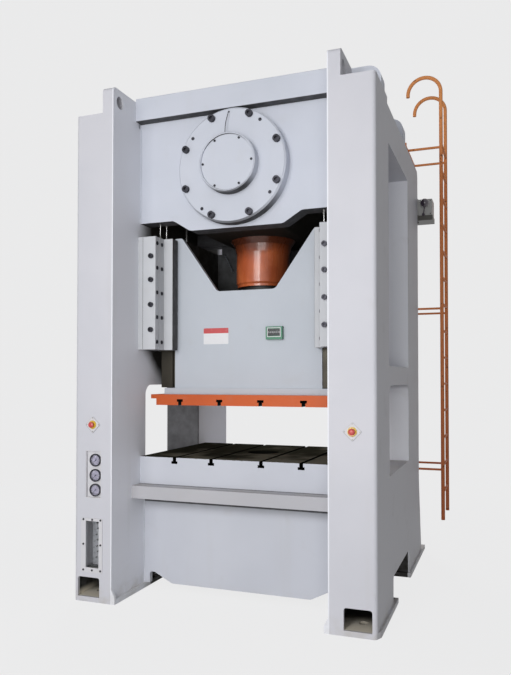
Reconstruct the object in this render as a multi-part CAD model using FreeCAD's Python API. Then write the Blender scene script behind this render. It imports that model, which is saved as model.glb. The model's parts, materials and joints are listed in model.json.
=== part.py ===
import FreeCAD, Part
import math
import os

# Straight-side mechanical stamping press with one crank. Millimetres, +X to the operator's right,
# +Y to the back, +Z up. The origin is the centre of the four anchor holes, on the floor.
# The slide is at bottom dead centre and its die height is set to the largest.

Vector = FreeCAD.Vector

# Anchor holes in the four feet
anchor_pitch_x = 1960
anchor_pitch_y = 1980
anchor_radius = 32
anchor_inset = 170
column_front = -anchor_pitch_y / 2 - anchor_inset


def back(distance):
    """Y of a point that lies this far behind the columns' front face."""
    return column_front + distance


# Uprights
opening_half = 787
upright_width = 311
upright_outer = opening_half + upright_width
upright_depth = 2090
foot_depth = 2250
front_height = 3520
rear_height = 3475
height_step = 435
inner_wall = 40
wall = 25
edge_radius = 28
rear_chamfer = (30, 40)
flare_top = 700
window_front = 476
window_rear = 1427
lower_window = (934, 1551)
upper_window = (1686, 3219)
window_radius = 80
inner_window = (740, 1250, 1750, 2640)
inner_window_radius = 60
notch_front = 620
notch_rear = 1430
notch_height = 220
notch_radius = 25
base_thickness = 35
base_inner = 760
base_outer = 1113
front_base_end = 750
rear_base_start = 1400
rear_base_end = 2400
base_corner = 70
gusset_heights = (48, 112)
pocket = (886, 1066, 175)
pocket_radius = 18
diaphragm = (190, 205)
diaphragm_hole = (300, 60)
weld = 5
lug = (875, 380, 3705)
lug_hole = (90, 3612, 45)

# Crown between and above the uprights
crown_front = 392
crown_rear = 1410
crown_wall = 140
crown_top = 3735
crown_bottom = 2790
belly_bottom = 2705
belly_half = 365
belly_shoulder = 505
belly_radius = 60
ear_half = 1065
ear_radius = 90
apron = (40, 56, 2400)
top_plate = 40
header_front = 314
header_bottom = 3556
header_sheet = 6
header_gap = 4
pan_sheet = 16
pan_half = 330
pan_shelf = 2900

# Crank drive
crank_z = 3135
stroke = 160
throw = stroke / 2
drive_axis = 995
journal_radius = 110
journal_boss = 185
running_gap = 0.05
bush_wall = 22
web_width = 90
web_gap = 6
web_radii = (150, 140)
crankpin_radius = 105
crankpin_length = 330
rod_length = 625
rod_width = 180
big_end_radius = 165
small_end_radius = 62
wrist_radius = 35
gear_module = 16
gear_teeth = 60
pinion_teeth = 12
pressure_angle = math.radians(25)
gear_front = 1600
gear_width = 120
gear_web = (170, 415, 35)
gear_holes = (6, 292, 85)
pinion_x = -300
pinion_front = 1430
case_gap = 26
case_sheet = 10
cap_front = 300
cap_radius = 416
hub_front = 220
hub_radius = 214
hub_rim = 13
hub_depth = 50
cap_chamfer = 12
cap_bolt_circle = 380
cap_bolt_head = 26

# Plunger and its sleeve
plunger_radius = 170
plunger_bore = 150
plunger_top = 2600
plunger_bottom = 2210
sleeve_radius = 215
sleeve_top_radius = 262
sleeve_bottom = 2328
sleeve_flare = (2600, 2660, 14)
sleeve_lip = (8, 18, 32)
sleeve_top = 2760
screw_radius = 90
screw_bottom = 1750
nut_radius = 129.7
nut_collar = (165, 2100, 2135)
nut_bottom = 1960

# Slide
slide_front = 600
slide_rear = 1390
slide_half = 595
slide_top = 2700
slide_bottom = 1526
slide_wall = 40
bracket_top = 2590
slide_notch = (535, 235, 2270)
rear_notch = (420, 2535)
flange_half = 674
flange_bottom = 1478
flange_margin = 25
barrel_radius = 190
rib_top = 2000
rail_half = 712
rail_depth = 103
rail_relief = (20, 14)
plate_half = 738
plate_lower_half = 692
plate_bottom = 1396
plate_flange = 32
plate_front = 475
plate_slots = (163, 490)
counter_case = (174, 302, 1890, 1985)
counter_depth = 38

# Counterbalance cylinders beside the slide
balancer_offset = 95
balancer_radius = 66
balancer_wall = 8
balancer_top = 3300
balancer_rod = 15

# Gibs at the four corners of the slide
gib_bottom = 1820
gib_top = 2680
gib_front = 360
gib_half = 640
gib_groove = (51, 59, 8)
gib_strip_front = 497
gib_strip_half = 566
gib_depth = 700
gib_gap = 0.1
liner_thickness = 15
liner_half = 612
rail_proud = 3
gib_bolt_x = 676
gib_bolt_heights = (2530, 2350, 2160, 1970)
gib_bolt_head = 19
lube_lines_at = ((649, 455), (630, 520))
lube_line_radius = 3

# Bed and bolster
bolster_front = 399
bolster_rear = 1588
bolster_bottom = 800
bolster_top = 1005
bolster_bore = 125
bolster_slots = (195, 495)
slot_stem = 28
slot_head = 50
slot_head_depth = 20
slot_depth = 46
bed_front = 460
bed_rear = 1540
bed_wall = 40
ledge_front = 271
ledge_bottom = 707
bed_cutaway = (735, 690, 545)
bed_rib = (330, 360, 60)
bed_rib_hole = (380, 150)

# Rear drive: flywheel, motor and guard
flywheel_front = 1800
flywheel_width = 130
flywheel_radius = 420
flywheel_rim = 330
flywheel_hub = 95
flywheel_holes = (5, 212, 62)
shaft_radius = 45
shaft_rear = 2085
motor_x = 420
motor_z = 3915
motor_radius = 150
motor_front = 1230
motor_rear = 1690
motor_shaft = 24
motor_fins = 24
pulley_radius = 92
pulley_width = 108
belt_count = 3
belt_pitch = 32
belt_width = 11
belt_thickness = 9
groove_depth = 18
guard_radii = (460, 140)
guard_sheet = 5
guard_front = 1775
guard_posts = ((-150, 3330), (-420, 3330), (-50, 3500))
guard_post_radius = 15

# Controls on the column fronts
estop_x = 945
estop_z = 1268
estop_stem = 11
estop_plate_half = 62
gauge_x = -929
gauge_heights = (1013, 904, 799)
gauge_radius = 44
gauge_rim = 6
gauge_dial = 14
gauge_back = 40
spindle_radius = 1.5
needle_zero = -135
gauge_recess = (-1005, -874, 741, 1083)
inspection_frame = (-1037, -860, 210, 598)
inspection_opening = (-998, -890, 245, 577)
pane_lap = 6
air_unit_heights = (300, 400, 500)

# Valve box at the right rear, with its hand lever
valve_plate = (960, 1104, 3050, 3233)
valve_case = (985, 1223, 3085, 3233)
valve_tray = (985, 1228, 3040, 3085)
valve_depth = 180
valve_gap = 30
valve_pivot = (1149, 3090)
valve_arm = 95
valve_lean = 10
valve_knob = 38
valve_stud = 45

# Ladder at the right rear corner
ladder_x = 1290
ladder_front = 2300
ladder_rear = 2790
ladder_tube = 17
ladder_bottom = 300
ladder_top = 4445
hook_radius = 150
hook_drop = 185
rung_pitch = 250
rung_radius = 11
bracket_heights = (760, 2250, 3755)
bracket_inner = 980
bracket_half = 9
bracket_pad = 45


def box(x0, x1, y0, y1, z0, z1):
    corner = Vector(min(x0, x1), back(min(y0, y1)), min(z0, z1))
    return Part.makeBox(abs(x1 - x0), abs(y1 - y0), abs(z1 - z0), corner)


def turned_y(x, z, radius, y0, y1):
    return Part.makeCylinder(radius, y1 - y0, Vector(x, back(y0), z), Vector(0, 1, 0))


def turned_z(x, y, radius, z0, z1):
    return Part.makeCylinder(radius, z1 - z0, Vector(x, back(y), z0), Vector(0, 0, 1))


def turned_x(y, z, radius, x0, x1):
    return Part.makeCylinder(radius, x1 - x0, Vector(x0, back(y), z), Vector(1, 0, 0))


def outline(corners, place):
    """Closed wire through corners (u, v, radius); place turns (u, v) into a point."""
    edges = []
    ends = []
    count = len(corners)
    for i in range(count):
        u, v, radius = corners[i]
        corner = Vector(u, v, 0)
        before = Vector(corners[i - 1][0], corners[i - 1][1], 0) - corner
        after = Vector(corners[(i + 1) % count][0], corners[(i + 1) % count][1], 0) - corner
        before.normalize()
        after.normalize()
        if radius == 0:
            ends.append((corner, None, corner))
            continue
        half = before.getAngle(after) / 2
        reach = radius / math.tan(half)
        bisector = (before + after).normalize()
        middle = corner + bisector * (radius / math.sin(half) - radius)
        ends.append((corner + before * reach, middle, corner + after * reach))
    for i in range(count):
        start, middle, end = ends[i]
        if middle is not None:
            edges.append(Part.Arc(place(start), place(middle), place(end)).toShape())
        following = ends[(i + 1) % count][0]
        if (following - end).Length > 0.001:
            edges.append(Part.LineSegment(place(end), place(following)).toShape())
    return Part.Wire(edges)


def plate_y(corners, y0, y1):
    """Plate with an outline in X and Z, from y0 back to y1."""
    wire = outline(corners, lambda p: Vector(p.x, back(y0), p.y))
    return Part.Face(wire).extrude(Vector(0, y1 - y0, 0))


def plate_x(corners, x0, x1):
    """Plate with an outline in Y and Z, from x0 to x1."""
    wire = outline(corners, lambda p: Vector(x0, back(p.x), p.y))
    return Part.Face(wire).extrude(Vector(x1 - x0, 0, 0))


def plate_z(corners, z0, z1):
    """Plate with an outline in X and Y, from z0 up to z1."""
    wire = outline(corners, lambda p: Vector(p.x, back(p.y), z0))
    return Part.Face(wire).extrude(Vector(0, 0, z1 - z0))


def rectangle(u0, u1, v0, v1, radius=0):
    return [(u0, v0, radius), (u1, v0, radius), (u1, v1, radius), (u0, v1, radius)]


def revolved_y(x, z, profile):
    """Turned piece about an axis along Y; profile holds (radius, y)."""
    points = [Vector(x + radius, back(y), z) for radius, y in profile]
    face = Part.Face(Part.makePolygon(points + points[:1]))
    return face.revolve(Vector(x, 0, z), Vector(0, 1, 0), 360)


def revolved_z(x, y, profile):
    """Turned piece about a vertical axis; profile holds (radius, z)."""
    points = [Vector(x + radius, back(y), z) for radius, z in profile]
    face = Part.Face(Part.makePolygon(points + points[:1]))
    return face.revolve(Vector(x, back(y), 0), Vector(0, 0, 1), 360)


def mirrored(shape):
    return shape.mirror(Vector(0, 0, 0), Vector(1, 0, 0))


def both_sides(shape):
    return [shape, mirrored(shape)]


def four_corners(shape):
    """The shape at each corner of the slide, which lies centred on the drive axis."""
    rear = shape.mirror(Vector(0, back(drive_axis), 0), Vector(0, 1, 0))
    return both_sides(shape) + both_sides(rear)


def fused(shapes):
    return shapes[0].multiFuse(shapes[1:]).removeSplitter()


# ---- uprights ----

def side_profile(inset):
    """Side view of an upright's walls, drawn in by inset, without its windows."""
    top = rear_height - inset
    return [
        (inset, base_thickness * (inset > 0), 0),
        (inset, front_height - inset, 0),
        (height_step - inset, front_height - inset, 0),
        (height_step - inset, top, 0),
        (upright_depth - rear_chamfer[0] - inset, top, 0),
        (upright_depth - inset, top - rear_chamfer[1], 0),
        (upright_depth - inset, flare_top, 0),
        (foot_depth - inset, base_thickness * (inset > 0), 0),
        (notch_rear + inset, base_thickness * (inset > 0), 0),
        (notch_rear + inset, notch_height + inset, notch_radius),
        (notch_front - inset, notch_height + inset, notch_radius),
        (notch_front - inset, base_thickness * (inset > 0), 0),
    ]


def window_block(heights, x0, x1, grow):
    z0, z1 = heights
    corners = rectangle(window_front - grow, window_rear + grow, z0 - grow, z1 + grow)
    if heights is lower_window:
        corners[2] = (corners[2][0], corners[2][1], window_radius)
        corners[3] = (corners[3][0], corners[3][1], window_radius)
    return plate_x(corners, x0, x1)


def upright_shell():
    """The right upright as welded: walls, windows, feet and lifting lug."""
    body = plate_x(side_profile(0), opening_half, upright_outer)
    rounded = [e for e in body.Edges if is_front_corner(e)]
    body = body.makeFillet(edge_radius, rounded)
    hollow_in = opening_half + inner_wall
    hollow_out = upright_outer - wall
    hollow = plate_x(side_profile(wall), hollow_in, hollow_out)
    for heights in (lower_window, upper_window):
        hollow = hollow.cut(window_block(heights, hollow_in - 1, hollow_out + 1, wall))
    floor_low, floor_high = diaphragm
    shelf = box(hollow_in, hollow_out, wall, notch_front, floor_low, floor_high)
    hole_y, hole_radius = diaphragm_hole
    shelf = shelf.cut(turned_z(anchor_pitch_x / 2, hole_y, hole_radius, floor_low - 1, floor_high + 1))
    body = body.cut(hollow.cut(shelf))
    body = body.cut(window_block(lower_window, opening_half - 1, upright_outer + 1, 0))
    body = body.cut(window_block(upper_window, hollow_in, upright_outer + 1, 0))
    y0, y1, z0, z1 = inner_window
    inner = rectangle(y0, y1, z0, z1, inner_window_radius)
    body = body.cut(plate_x(inner, opening_half - 1, hollow_in + 1))
    return body


def is_front_corner(edge):
    box_of_edge = edge.BoundBox
    at_front = abs(box_of_edge.YMax - back(0)) < 1
    at_side = abs(box_of_edge.XMin - upright_outer) < 1
    return at_front and at_side and box_of_edge.ZLength > 1000


def foot_parts():
    """Base plates, inner gusset and lifting lug of the right upright."""
    front = plate_z(
        [
            (base_inner, 0, 0),
            (base_outer, 0, base_corner),
            (base_outer, front_base_end, 0),
            (base_inner, front_base_end, 0),
        ],
        0,
        base_thickness,
    )
    rear = box(base_inner, base_outer, rear_base_start, rear_base_end, 0, base_thickness)
    low, high = gusset_heights
    gusset = [(opening_half + weld, base_thickness - weld, 0), (base_inner, base_thickness - weld, 0),
              (base_inner, low, 0), (opening_half + weld, high, 0)]
    lug_outer, lug_depth, lug_top = lug
    lug_root = rear_height - 60
    ear = plate_x(
        [
            (0, lug_root, 0),
            (lug_depth, lug_root, 0),
            (lug_depth - 50, lug_top, 12),
            (0, lug_top, 35),
        ],
        opening_half,
        lug_outer,
    )
    return [front, rear, plate_y(gusset, 0, wall), ear]


def right_upright():
    body = fused([upright_shell()] + foot_parts())
    x0, x1, top = pocket
    mouth = [(x0, base_thickness, 0), (x1, base_thickness, 0),
             (x1, top, pocket_radius), (x0, top, pocket_radius)]
    body = body.cut(plate_y(mouth, -1, wall + 1))
    body = body.cut(plate_y(mouth, upright_depth - wall - 5, foot_depth + 1))
    for y in (anchor_inset, anchor_inset + anchor_pitch_y):
        body = body.cut(turned_z(anchor_pitch_x / 2, y, anchor_radius, -1, base_thickness + 1))
    body = body.cut(turned_y(estop_x, estop_z, estop_stem + 0.5, -1, wall + 1))
    hole_y, hole_z, hole_radius = lug_hole
    return body.cut(turned_x(hole_y, hole_z, hole_radius, opening_half - 1, lug[0] + 1))


def left_upright(right):
    body = mirrored(right)
    x0, x1, z0, z1 = gauge_recess
    body = body.cut(box(x0, x1, -1, wall + 1, z0, z1))
    x0, x1, z0, z1 = inspection_opening
    return body.cut(box(x0 - pane_lap, x1 + pane_lap, -1, wall + 1, z0 - pane_lap, z1 + pane_lap))


# ---- crown ----

def crown_wall_at(y0, step):
    """Front or rear wall of the crown with its bellied lower edge and its ears over the uprights."""
    right = [
        (opening_half, crown_bottom, 0),
        (opening_half, rear_height, 0),
        (ear_half, rear_height, 0),
        (ear_half, crown_top, ear_radius),
    ]
    left = [(-u, v, radius) for u, v, radius in reversed(right)]
    lower = [
        (-belly_shoulder, crown_bottom, belly_radius),
        (-belly_half, belly_bottom, belly_radius),
        (belly_half, belly_bottom, belly_radius),
        (belly_shoulder, crown_bottom, belly_radius),
    ]
    body = plate_y(right + left + lower, y0, y0 + crown_wall)
    if step:
        for side in (-1, 1):
            low = box(side * opening_half, side * ear_half, y0 - 1, height_step,
                      rear_height - 1, front_height)
            body = body.cut(low)
    return body


def crown_front_wall():
    body = crown_wall_at(crown_front, True)
    boss = turned_y(0, crank_z, journal_boss, crown_front + crown_wall, drive_axis - boss_reach())
    bore = turned_y(0, crank_z, journal_radius + bush_wall, crown_front - 1, drive_axis)
    return body.fuse(boss).cut(bore)


def crown_rear_wall():
    """Rear wall with the blind bearing of the pinion shaft and the apron behind the slide."""
    body = crown_wall_at(crown_rear, False)
    outside = crown_rear + crown_wall + 1
    boss = turned_y(0, crank_z, journal_boss, drive_axis + boss_reach(), crown_rear)
    bore = turned_y(0, crank_z, journal_radius + bush_wall, drive_axis, outside)
    pinion_bore = turned_y(pinion_x, pinion_z(), shaft_radius + running_gap, pinion_front - 1, outside)
    near, far, low = apron
    half = gib_strip_half - 6
    sheet = box(-half, half, crown_rear + near, crown_rear + far, low,
                crown_bottom + 100)
    return fused([body, boss, sheet]).cut(bore).cut(pinion_bore)


def boss_reach():
    """Half of the gap between the crown's journal bosses."""
    return crankpin_length / 2 + web_width + web_gap


def crown_top_plate():
    y0 = crown_front + crown_wall
    return box(-opening_half, opening_half, y0, crown_rear, crown_top - top_plate, crown_top)


def header_cover():
    """Plain folded cover along the top of the crown's front."""
    sheet = header_sheet
    top = crown_top - header_gap
    fold = 8
    corners = [
        (crown_front, header_bottom, 0),
        (header_front, header_bottom, fold),
        (header_front, top, fold),
        (crown_front, top, 0),
        (crown_front, top - sheet, 0),
        (header_front + sheet, top - sheet, fold - sheet),
        (header_front + sheet, header_bottom + sheet, fold - sheet),
        (crown_front, header_bottom + sheet, 0),
    ]
    return plate_x(corners, -opening_half, opening_half)


def oil_pan():
    """Folded pan that closes the crown below the crank, shaped to enter the slide's notch."""
    sheet = pan_sheet
    rise = pan_shelf - belly_bottom
    lean = rise * (slide_notch[0] - slide_notch[1]) / (slide_top - slide_notch[2])
    fold = 20
    outer = [
        (-opening_half, pan_shelf, 0),
        (-pan_half - lean, pan_shelf, fold),
        (-pan_half, belly_bottom, fold),
        (pan_half, belly_bottom, fold),
        (pan_half + lean, pan_shelf, fold),
        (opening_half, pan_shelf, 0),
        (opening_half, pan_shelf + sheet, 0),
        (pan_half + lean - sheet, pan_shelf + sheet, 0),
        (pan_half - sheet, belly_bottom + sheet, 0),
        (-pan_half + sheet, belly_bottom + sheet, 0),
        (-pan_half - lean + sheet, pan_shelf + sheet, 0),
        (-opening_half, pan_shelf + sheet, 0),
    ]
    y0 = crown_front + crown_wall
    body = plate_y(outer, y0, crown_rear)
    body = body.cut(turned_z(0, drive_axis, sleeve_radius, belly_bottom - 1, sleeve_top))
    for side in (-1, 1):
        hole = turned_z(side * balancer_x(), drive_axis, balancer_rod + 7, pan_shelf - 1,
                        pan_shelf + sheet + 1)
        body = body.cut(hole)
    return body


def crank_bearing_cap():
    """Round bearing flange on the crown's front with its raised hub and a recess for the cover."""
    edge = 8
    profile = [
        (0, hub_front + hub_depth),
        (hub_radius - hub_rim, hub_front + hub_depth),
        (hub_radius - hub_rim, hub_front),
        (hub_radius - edge, hub_front),
        (hub_radius, hub_front + edge),
        (hub_radius, cap_front),
        (cap_radius - cap_chamfer, cap_front),
        (cap_radius, cap_front + cap_chamfer),
        (cap_radius, crown_front),
        (0, crown_front),
    ]
    return revolved_y(0, crank_z, profile)


def hub_cover():
    rim = hub_radius - hub_rim - 0.1
    face = hub_front + 8
    chamfer = 4
    return revolved_y(0, crank_z, [(0, face), (rim - chamfer, face), (rim, face + chamfer),
                                   (rim, hub_front + hub_depth), (0, hub_front + hub_depth)])


def socket_bolt(x, z, y, facing, radius):
    """Socket-head bolt on an axis along Y; facing is -1 where the head looks forward."""
    head = turned_y(x, z, radius, min(y, y + facing * radius), max(y, y + facing * radius))
    socket_end = y + facing * radius
    depth = radius * 0.6
    across = radius * 0.55
    corners = []
    for i in range(6):
        angle = math.radians(60 * i)
        corners.append((x + across * math.cos(angle), z + across * math.sin(angle), 0))
    hole = plate_y(corners, min(socket_end, socket_end - facing * depth),
                   max(socket_end, socket_end - facing * depth))
    return head.cut(hole)


def frame_bolts():
    bolts = []
    for i in range(8):
        angle = math.radians(22.5 + 45 * i)
        x = cap_bolt_circle * math.cos(angle)
        z = crank_z + cap_bolt_circle * math.sin(angle)
        bolts.append(socket_bolt(x, z, cap_front, -1, cap_bolt_head))
    for z in gib_bolt_heights:
        bolts += four_corners(socket_bolt(gib_bolt_x, z, gib_front, -1, gib_bolt_head))
    return bolts


def crank_bushes():
    radius = journal_radius + running_gap
    outer = journal_radius + bush_wall
    bushes = []
    for y0, y1 in ((crown_front, drive_axis - boss_reach()),
                   (drive_axis + boss_reach(), crown_rear + crown_wall)):
        profile = [(radius, y0), (outer, y0), (outer, y1), (radius, y1)]
        bushes.append(revolved_y(0, crank_z, profile))
    return bushes


# ---- crankshaft, gears and connecting rod ----

def crankshaft():
    """Forged crankshaft at bottom dead centre: two journals, two webs and the crankpin."""
    half = crankpin_length / 2
    front_end = crown_front + 4
    rear_end = gear_front + gear_width + 15
    front = turned_y(0, crank_z, journal_radius, front_end, drive_axis - half)
    rear = turned_y(0, crank_z, journal_radius, drive_axis + half, rear_end)
    pin = turned_y(0, crank_z - throw, crankpin_radius, drive_axis - half, drive_axis + half)
    pieces = [front, rear, pin]
    for y in (drive_axis - half - web_width, drive_axis + half):
        pieces.append(crank_web(y))
    return fused(pieces)


def crank_web(y):
    """Web of a tapered outline that hugs the journal above and the crankpin below."""
    upper, lower = web_radii
    wire = tangent_outline((0, crank_z), upper, (0, crank_z - throw), lower, y)
    return Part.Face(wire).extrude(Vector(0, web_width, 0))


def tangent_outline(first, first_radius, second, second_radius, y):
    """Belt-shaped wire round two circles in the XZ plane."""
    dx = second[0] - first[0]
    dz = second[1] - first[1]
    distance = math.hypot(dx, dz)
    along = math.atan2(dz, dx)
    spread = math.acos((first_radius - second_radius) / distance)

    def on(centre, radius, angle):
        return Vector(centre[0] + radius * math.cos(angle), back(y),
                      centre[1] + radius * math.sin(angle))

    a0 = on(first, first_radius, along + spread)
    a1 = on(first, first_radius, along + math.pi)
    a2 = on(first, first_radius, along - spread)
    b0 = on(second, second_radius, along - spread)
    b1 = on(second, second_radius, along)
    b2 = on(second, second_radius, along + spread)
    return Part.Wire([
        Part.Arc(a0, a1, a2).toShape(),
        Part.LineSegment(a2, b0).toShape(),
        Part.Arc(b0, b1, b2).toShape(),
        Part.LineSegment(b2, a0).toShape(),
    ])


def involute(angle):
    return math.tan(angle) - angle


def tooth_outline(teeth, turn):
    """Closed list of (radius, angle) round a stub-toothed involute gear."""
    pitch = gear_module * teeth / 2
    base = pitch * math.cos(pressure_angle)
    root = pitch - gear_module
    tip = pitch + 0.8 * gear_module
    start = max(base, root)
    play = 0.4
    flank = [start + (tip - start) * i / 3 for i in range(4)]
    half_at_pitch = math.pi / (2 * teeth) - play / pitch + involute(pressure_angle)
    points = []
    for tooth in range(teeth):
        centre = turn + 2 * math.pi * tooth / teeth
        halves = [(r, half_at_pitch - involute(math.acos(min(1, base / r)))) for r in flank]
        if root < base:
            halves.insert(0, (root, halves[0][1]))
        points += [(r, centre - half) for r, half in halves]
        points += [(r, centre + half) for r, half in reversed(halves)]
    return points


def gear(x, z, teeth, turn, y0, width):
    points = []
    for radius, angle in tooth_outline(teeth, turn):
        points.append(Vector(x + radius * math.cos(angle), back(y0), z + radius * math.sin(angle)))
    wire = Part.makePolygon(points + points[:1])
    return Part.Face(wire).extrude(Vector(0, width, 0))


def centre_distance():
    return gear_module * (gear_teeth + pinion_teeth) / 2


def pinion_z():
    return crank_z + math.sqrt(centre_distance() ** 2 - pinion_x ** 2)


def mesh_angle():
    return math.atan2(pinion_z() - crank_z, pinion_x)


def main_gear():
    """Spoked main gear on the crankshaft's rear end."""
    rear = gear_front + gear_width
    body = gear(0, crank_z, gear_teeth, mesh_angle(), gear_front, gear_width)
    hub, rim, depth = gear_web
    recess = revolved_y(0, crank_z, [(hub, 0), (rim, 0), (rim, depth), (hub, depth)])
    for y in (gear_front - 1, rear + 1 - depth):
        body = body.cut(recess.translated(Vector(0, y, 0)))
    count, circle, radius = gear_holes
    for i in range(count):
        angle = 2 * math.pi * i / count
        x = circle * math.cos(angle)
        z = crank_z + circle * math.sin(angle)
        body = body.cut(turned_y(x, z, radius, gear_front, rear))
    return body.cut(turned_y(0, crank_z, journal_radius, gear_front - 1, rear + 1))


def pinion_shaft():
    """Drive shaft with its pinion cut in one piece, a tooth's gap set against the gear's tooth."""
    z = pinion_z()
    turn = mesh_angle() + math.pi + math.pi / pinion_teeth
    shaft = turned_y(pinion_x, z, shaft_radius, pinion_front, shaft_rear)
    return fused([shaft, gear(pinion_x, z, pinion_teeth, turn, gear_front, gear_width)])


def connecting_rod():
    """Rod with a split big end round the crankpin and a small end on the wrist pin."""
    big_z = crank_z - throw
    small_z = wrist_z()
    half = rod_width / 2
    front = drive_axis - half / 2
    rear = drive_axis + half / 2
    big = turned_y(0, big_z, big_end_radius, drive_axis - 100, drive_axis + 100)
    shoulders = box(-150, 150, drive_axis - 75, drive_axis + 75, big_z - 45, big_z + 45)
    shank = plate_y([(-55, small_z, 0), (55, small_z, 0), (78, big_z, 0), (-78, big_z, 0)], front, rear)
    small = turned_y(0, small_z, small_end_radius, front, rear)
    body = fused([big, shoulders, shank, small])
    bore = turned_y(0, big_z, crankpin_radius + running_gap, drive_axis - half - 50, drive_axis + half + 50)
    eye = turned_y(0, small_z, wrist_radius + running_gap, front - 1, rear + 1)
    groove = 0.6
    split = box(-200, 200, drive_axis - 120, drive_axis + 120, big_z - groove, big_z + groove)
    joint_line = split.cut(turned_y(0, big_z, big_end_radius - 7, drive_axis - 121, drive_axis + 121))
    return body.cut(bore).cut(eye).cut(joint_line)


def wrist_pin():
    half = rod_width / 2
    return turned_y(0, wrist_z(), wrist_radius, drive_axis - half, drive_axis + half)


def wrist_z():
    return crank_z - throw - rod_length


def plunger():
    """Hollow plunger with saddles for the wrist pin and the adjusting screw below."""
    floor = wrist_z() - 84
    saddle = wrist_z() - wrist_radius - 20
    seat_inner = 52
    seat_outer = plunger_bore - 1
    chamfer = 15
    body = turned_z(0, drive_axis, plunger_radius - running_gap, plunger_bottom, plunger_top)
    hollow = turned_z(0, drive_axis, plunger_bore, floor, plunger_top + 1)
    seats = []
    for side in (-1, 1):
        seat = box(-plunger_bore, plunger_bore, drive_axis + side * seat_inner,
                   drive_axis + side * seat_outer, floor, saddle)
        seats.append(seat.common(turned_z(0, drive_axis, plunger_bore + weld, floor, saddle)))
    screw = revolved_z(0, drive_axis, [
        (0, plunger_bottom), (screw_radius, plunger_bottom), (screw_radius, screw_bottom + chamfer),
        (screw_radius - chamfer, screw_bottom), (0, screw_bottom)])
    return fused([body.cut(hollow)] + seats + [screw])


def plunger_sleeve():
    """Guide sleeve that hangs from the oil pan, flared into it at the top."""
    bore = plunger_radius
    step, lip, shoulder = sleeve_lip
    flare_start, flare_middle, flare = sleeve_flare
    profile = [
        (bore, sleeve_bottom),
        (sleeve_radius - step, sleeve_bottom),
        (sleeve_radius - step, sleeve_bottom + lip),
        (sleeve_radius, sleeve_bottom + shoulder),
        (sleeve_radius, flare_start),
        (sleeve_radius + flare, flare_middle),
        (sleeve_top_radius, belly_bottom),
        (sleeve_radius, belly_bottom),
        (sleeve_radius, sleeve_top),
        (bore, sleeve_top),
    ]
    return revolved_z(0, drive_axis, profile)


# ---- slide ----

def slide_front_plate():
    """Front of the slide with the deep notch that clears the sleeve and the crown's belly."""
    top, low, floor = slide_notch
    mouth_radius = 25
    floor_radius = 45
    corners = [
        (-slide_half, slide_bottom, 0),
        (slide_half, slide_bottom, 0),
        (slide_half, slide_top, 0),
        (top, slide_top, mouth_radius),
        (low, floor, floor_radius),
        (-low, floor, floor_radius),
        (-top, slide_top, mouth_radius),
        (-slide_half, slide_top, 0),
    ]
    return plate_y(corners, slide_front, slide_front + slide_wall)


def slide_rear_plate():
    half, floor = rear_notch
    flare = 80
    mouth_radius = 20
    floor_radius = 40
    corners = [
        (-slide_half, slide_bottom, 0),
        (slide_half, slide_bottom, 0),
        (slide_half, slide_top, 0),
        (half + flare, slide_top, mouth_radius),
        (half, floor, floor_radius),
        (-half, floor, floor_radius),
        (-half - flare, slide_top, mouth_radius),
        (-slide_half, slide_top, 0),
    ]
    return plate_y(corners, slide_rear - slide_wall, slide_rear)


def slide_side_plates():
    """Sides of the slide, each with the bracket that its counterbalance rod bolts to."""
    y0 = slide_front + slide_wall
    y1 = slide_rear - slide_wall
    plate = box(slide_half - slide_wall, slide_half, y0, y1, slide_bottom, slide_top)
    reach = slide_half + 120
    half = 30
    bracket = plate_y([(slide_half, bracket_top - 140, 0), (reach, bracket_top - 30, 10),
                       (reach, bracket_top, 0), (slide_half, bracket_top, 0)],
                      drive_axis - half, drive_axis + half)
    hole = turned_z(balancer_x(), drive_axis, balancer_rod, bracket_top - 200, bracket_top + 1)
    return both_sides(plate.fuse(bracket.cut(hole)))


def slide_base():
    """Bottom of the slide: flange plate, screw barrel and the cross ribs that carry it."""
    barrel_top = nut_collar[1]
    flange = box(-flange_half, flange_half, slide_front - flange_margin, slide_rear + flange_margin,
                 flange_bottom, slide_bottom)
    barrel = turned_z(0, drive_axis, barrel_radius, slide_bottom, barrel_top)
    inner = slide_half - slide_wall
    y0 = slide_front + slide_wall
    y1 = slide_rear - slide_wall
    half = 18
    rib = box(-inner, inner, drive_axis - half, drive_axis + half, slide_bottom, rib_top)
    spine = box(-half, half, y0, y1, slide_bottom, rib_top)
    body = fused([flange, barrel, rib, spine])
    bore = turned_z(0, drive_axis, nut_radius + 0.3, slide_bottom + 60, barrel_top + 1)
    return body.cut(bore)


def adjusting_nut():
    """Nut in the slide's barrel that the plunger's screw turns in."""
    bore = screw_radius + 0.3
    collar, collar_bottom, top = nut_collar
    return revolved_z(0, drive_axis, [(bore, nut_bottom), (nut_radius, nut_bottom),
                                      (nut_radius, collar_bottom), (collar, collar_bottom),
                                      (collar, top), (bore, top)])


def slide_rails():
    """Ground guide bars at the slide's four corners, each with a relief beside the body."""
    front = slide_front - rail_proud
    width, depth = rail_relief
    corners = [
        (slide_half, front + depth, 0),
        (slide_half + width - 4, front + depth, 0),
        (slide_half + width, front, 0),
        (rail_half, front, 0),
        (rail_half, front + rail_depth, 0),
        (slide_half, front + rail_depth, 0),
    ]
    return four_corners(plate_z(corners, slide_bottom + 4, slide_top - 25))


def slot_cut(x, y0, y1, face, inward):
    """T-slot along Y, open at the height face; inward is +1 where the slot runs up from it."""
    neck = face + inward * (slot_depth - slot_head_depth)
    end = face + inward * slot_depth
    stem = box(x - slot_stem / 2, x + slot_stem / 2, y0 - 1, y1 + 1, face - inward, neck)
    head = box(x - slot_head / 2, x + slot_head / 2, y0 - 1, y1 + 1, neck, end)
    return stem.fuse(head)


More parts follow.
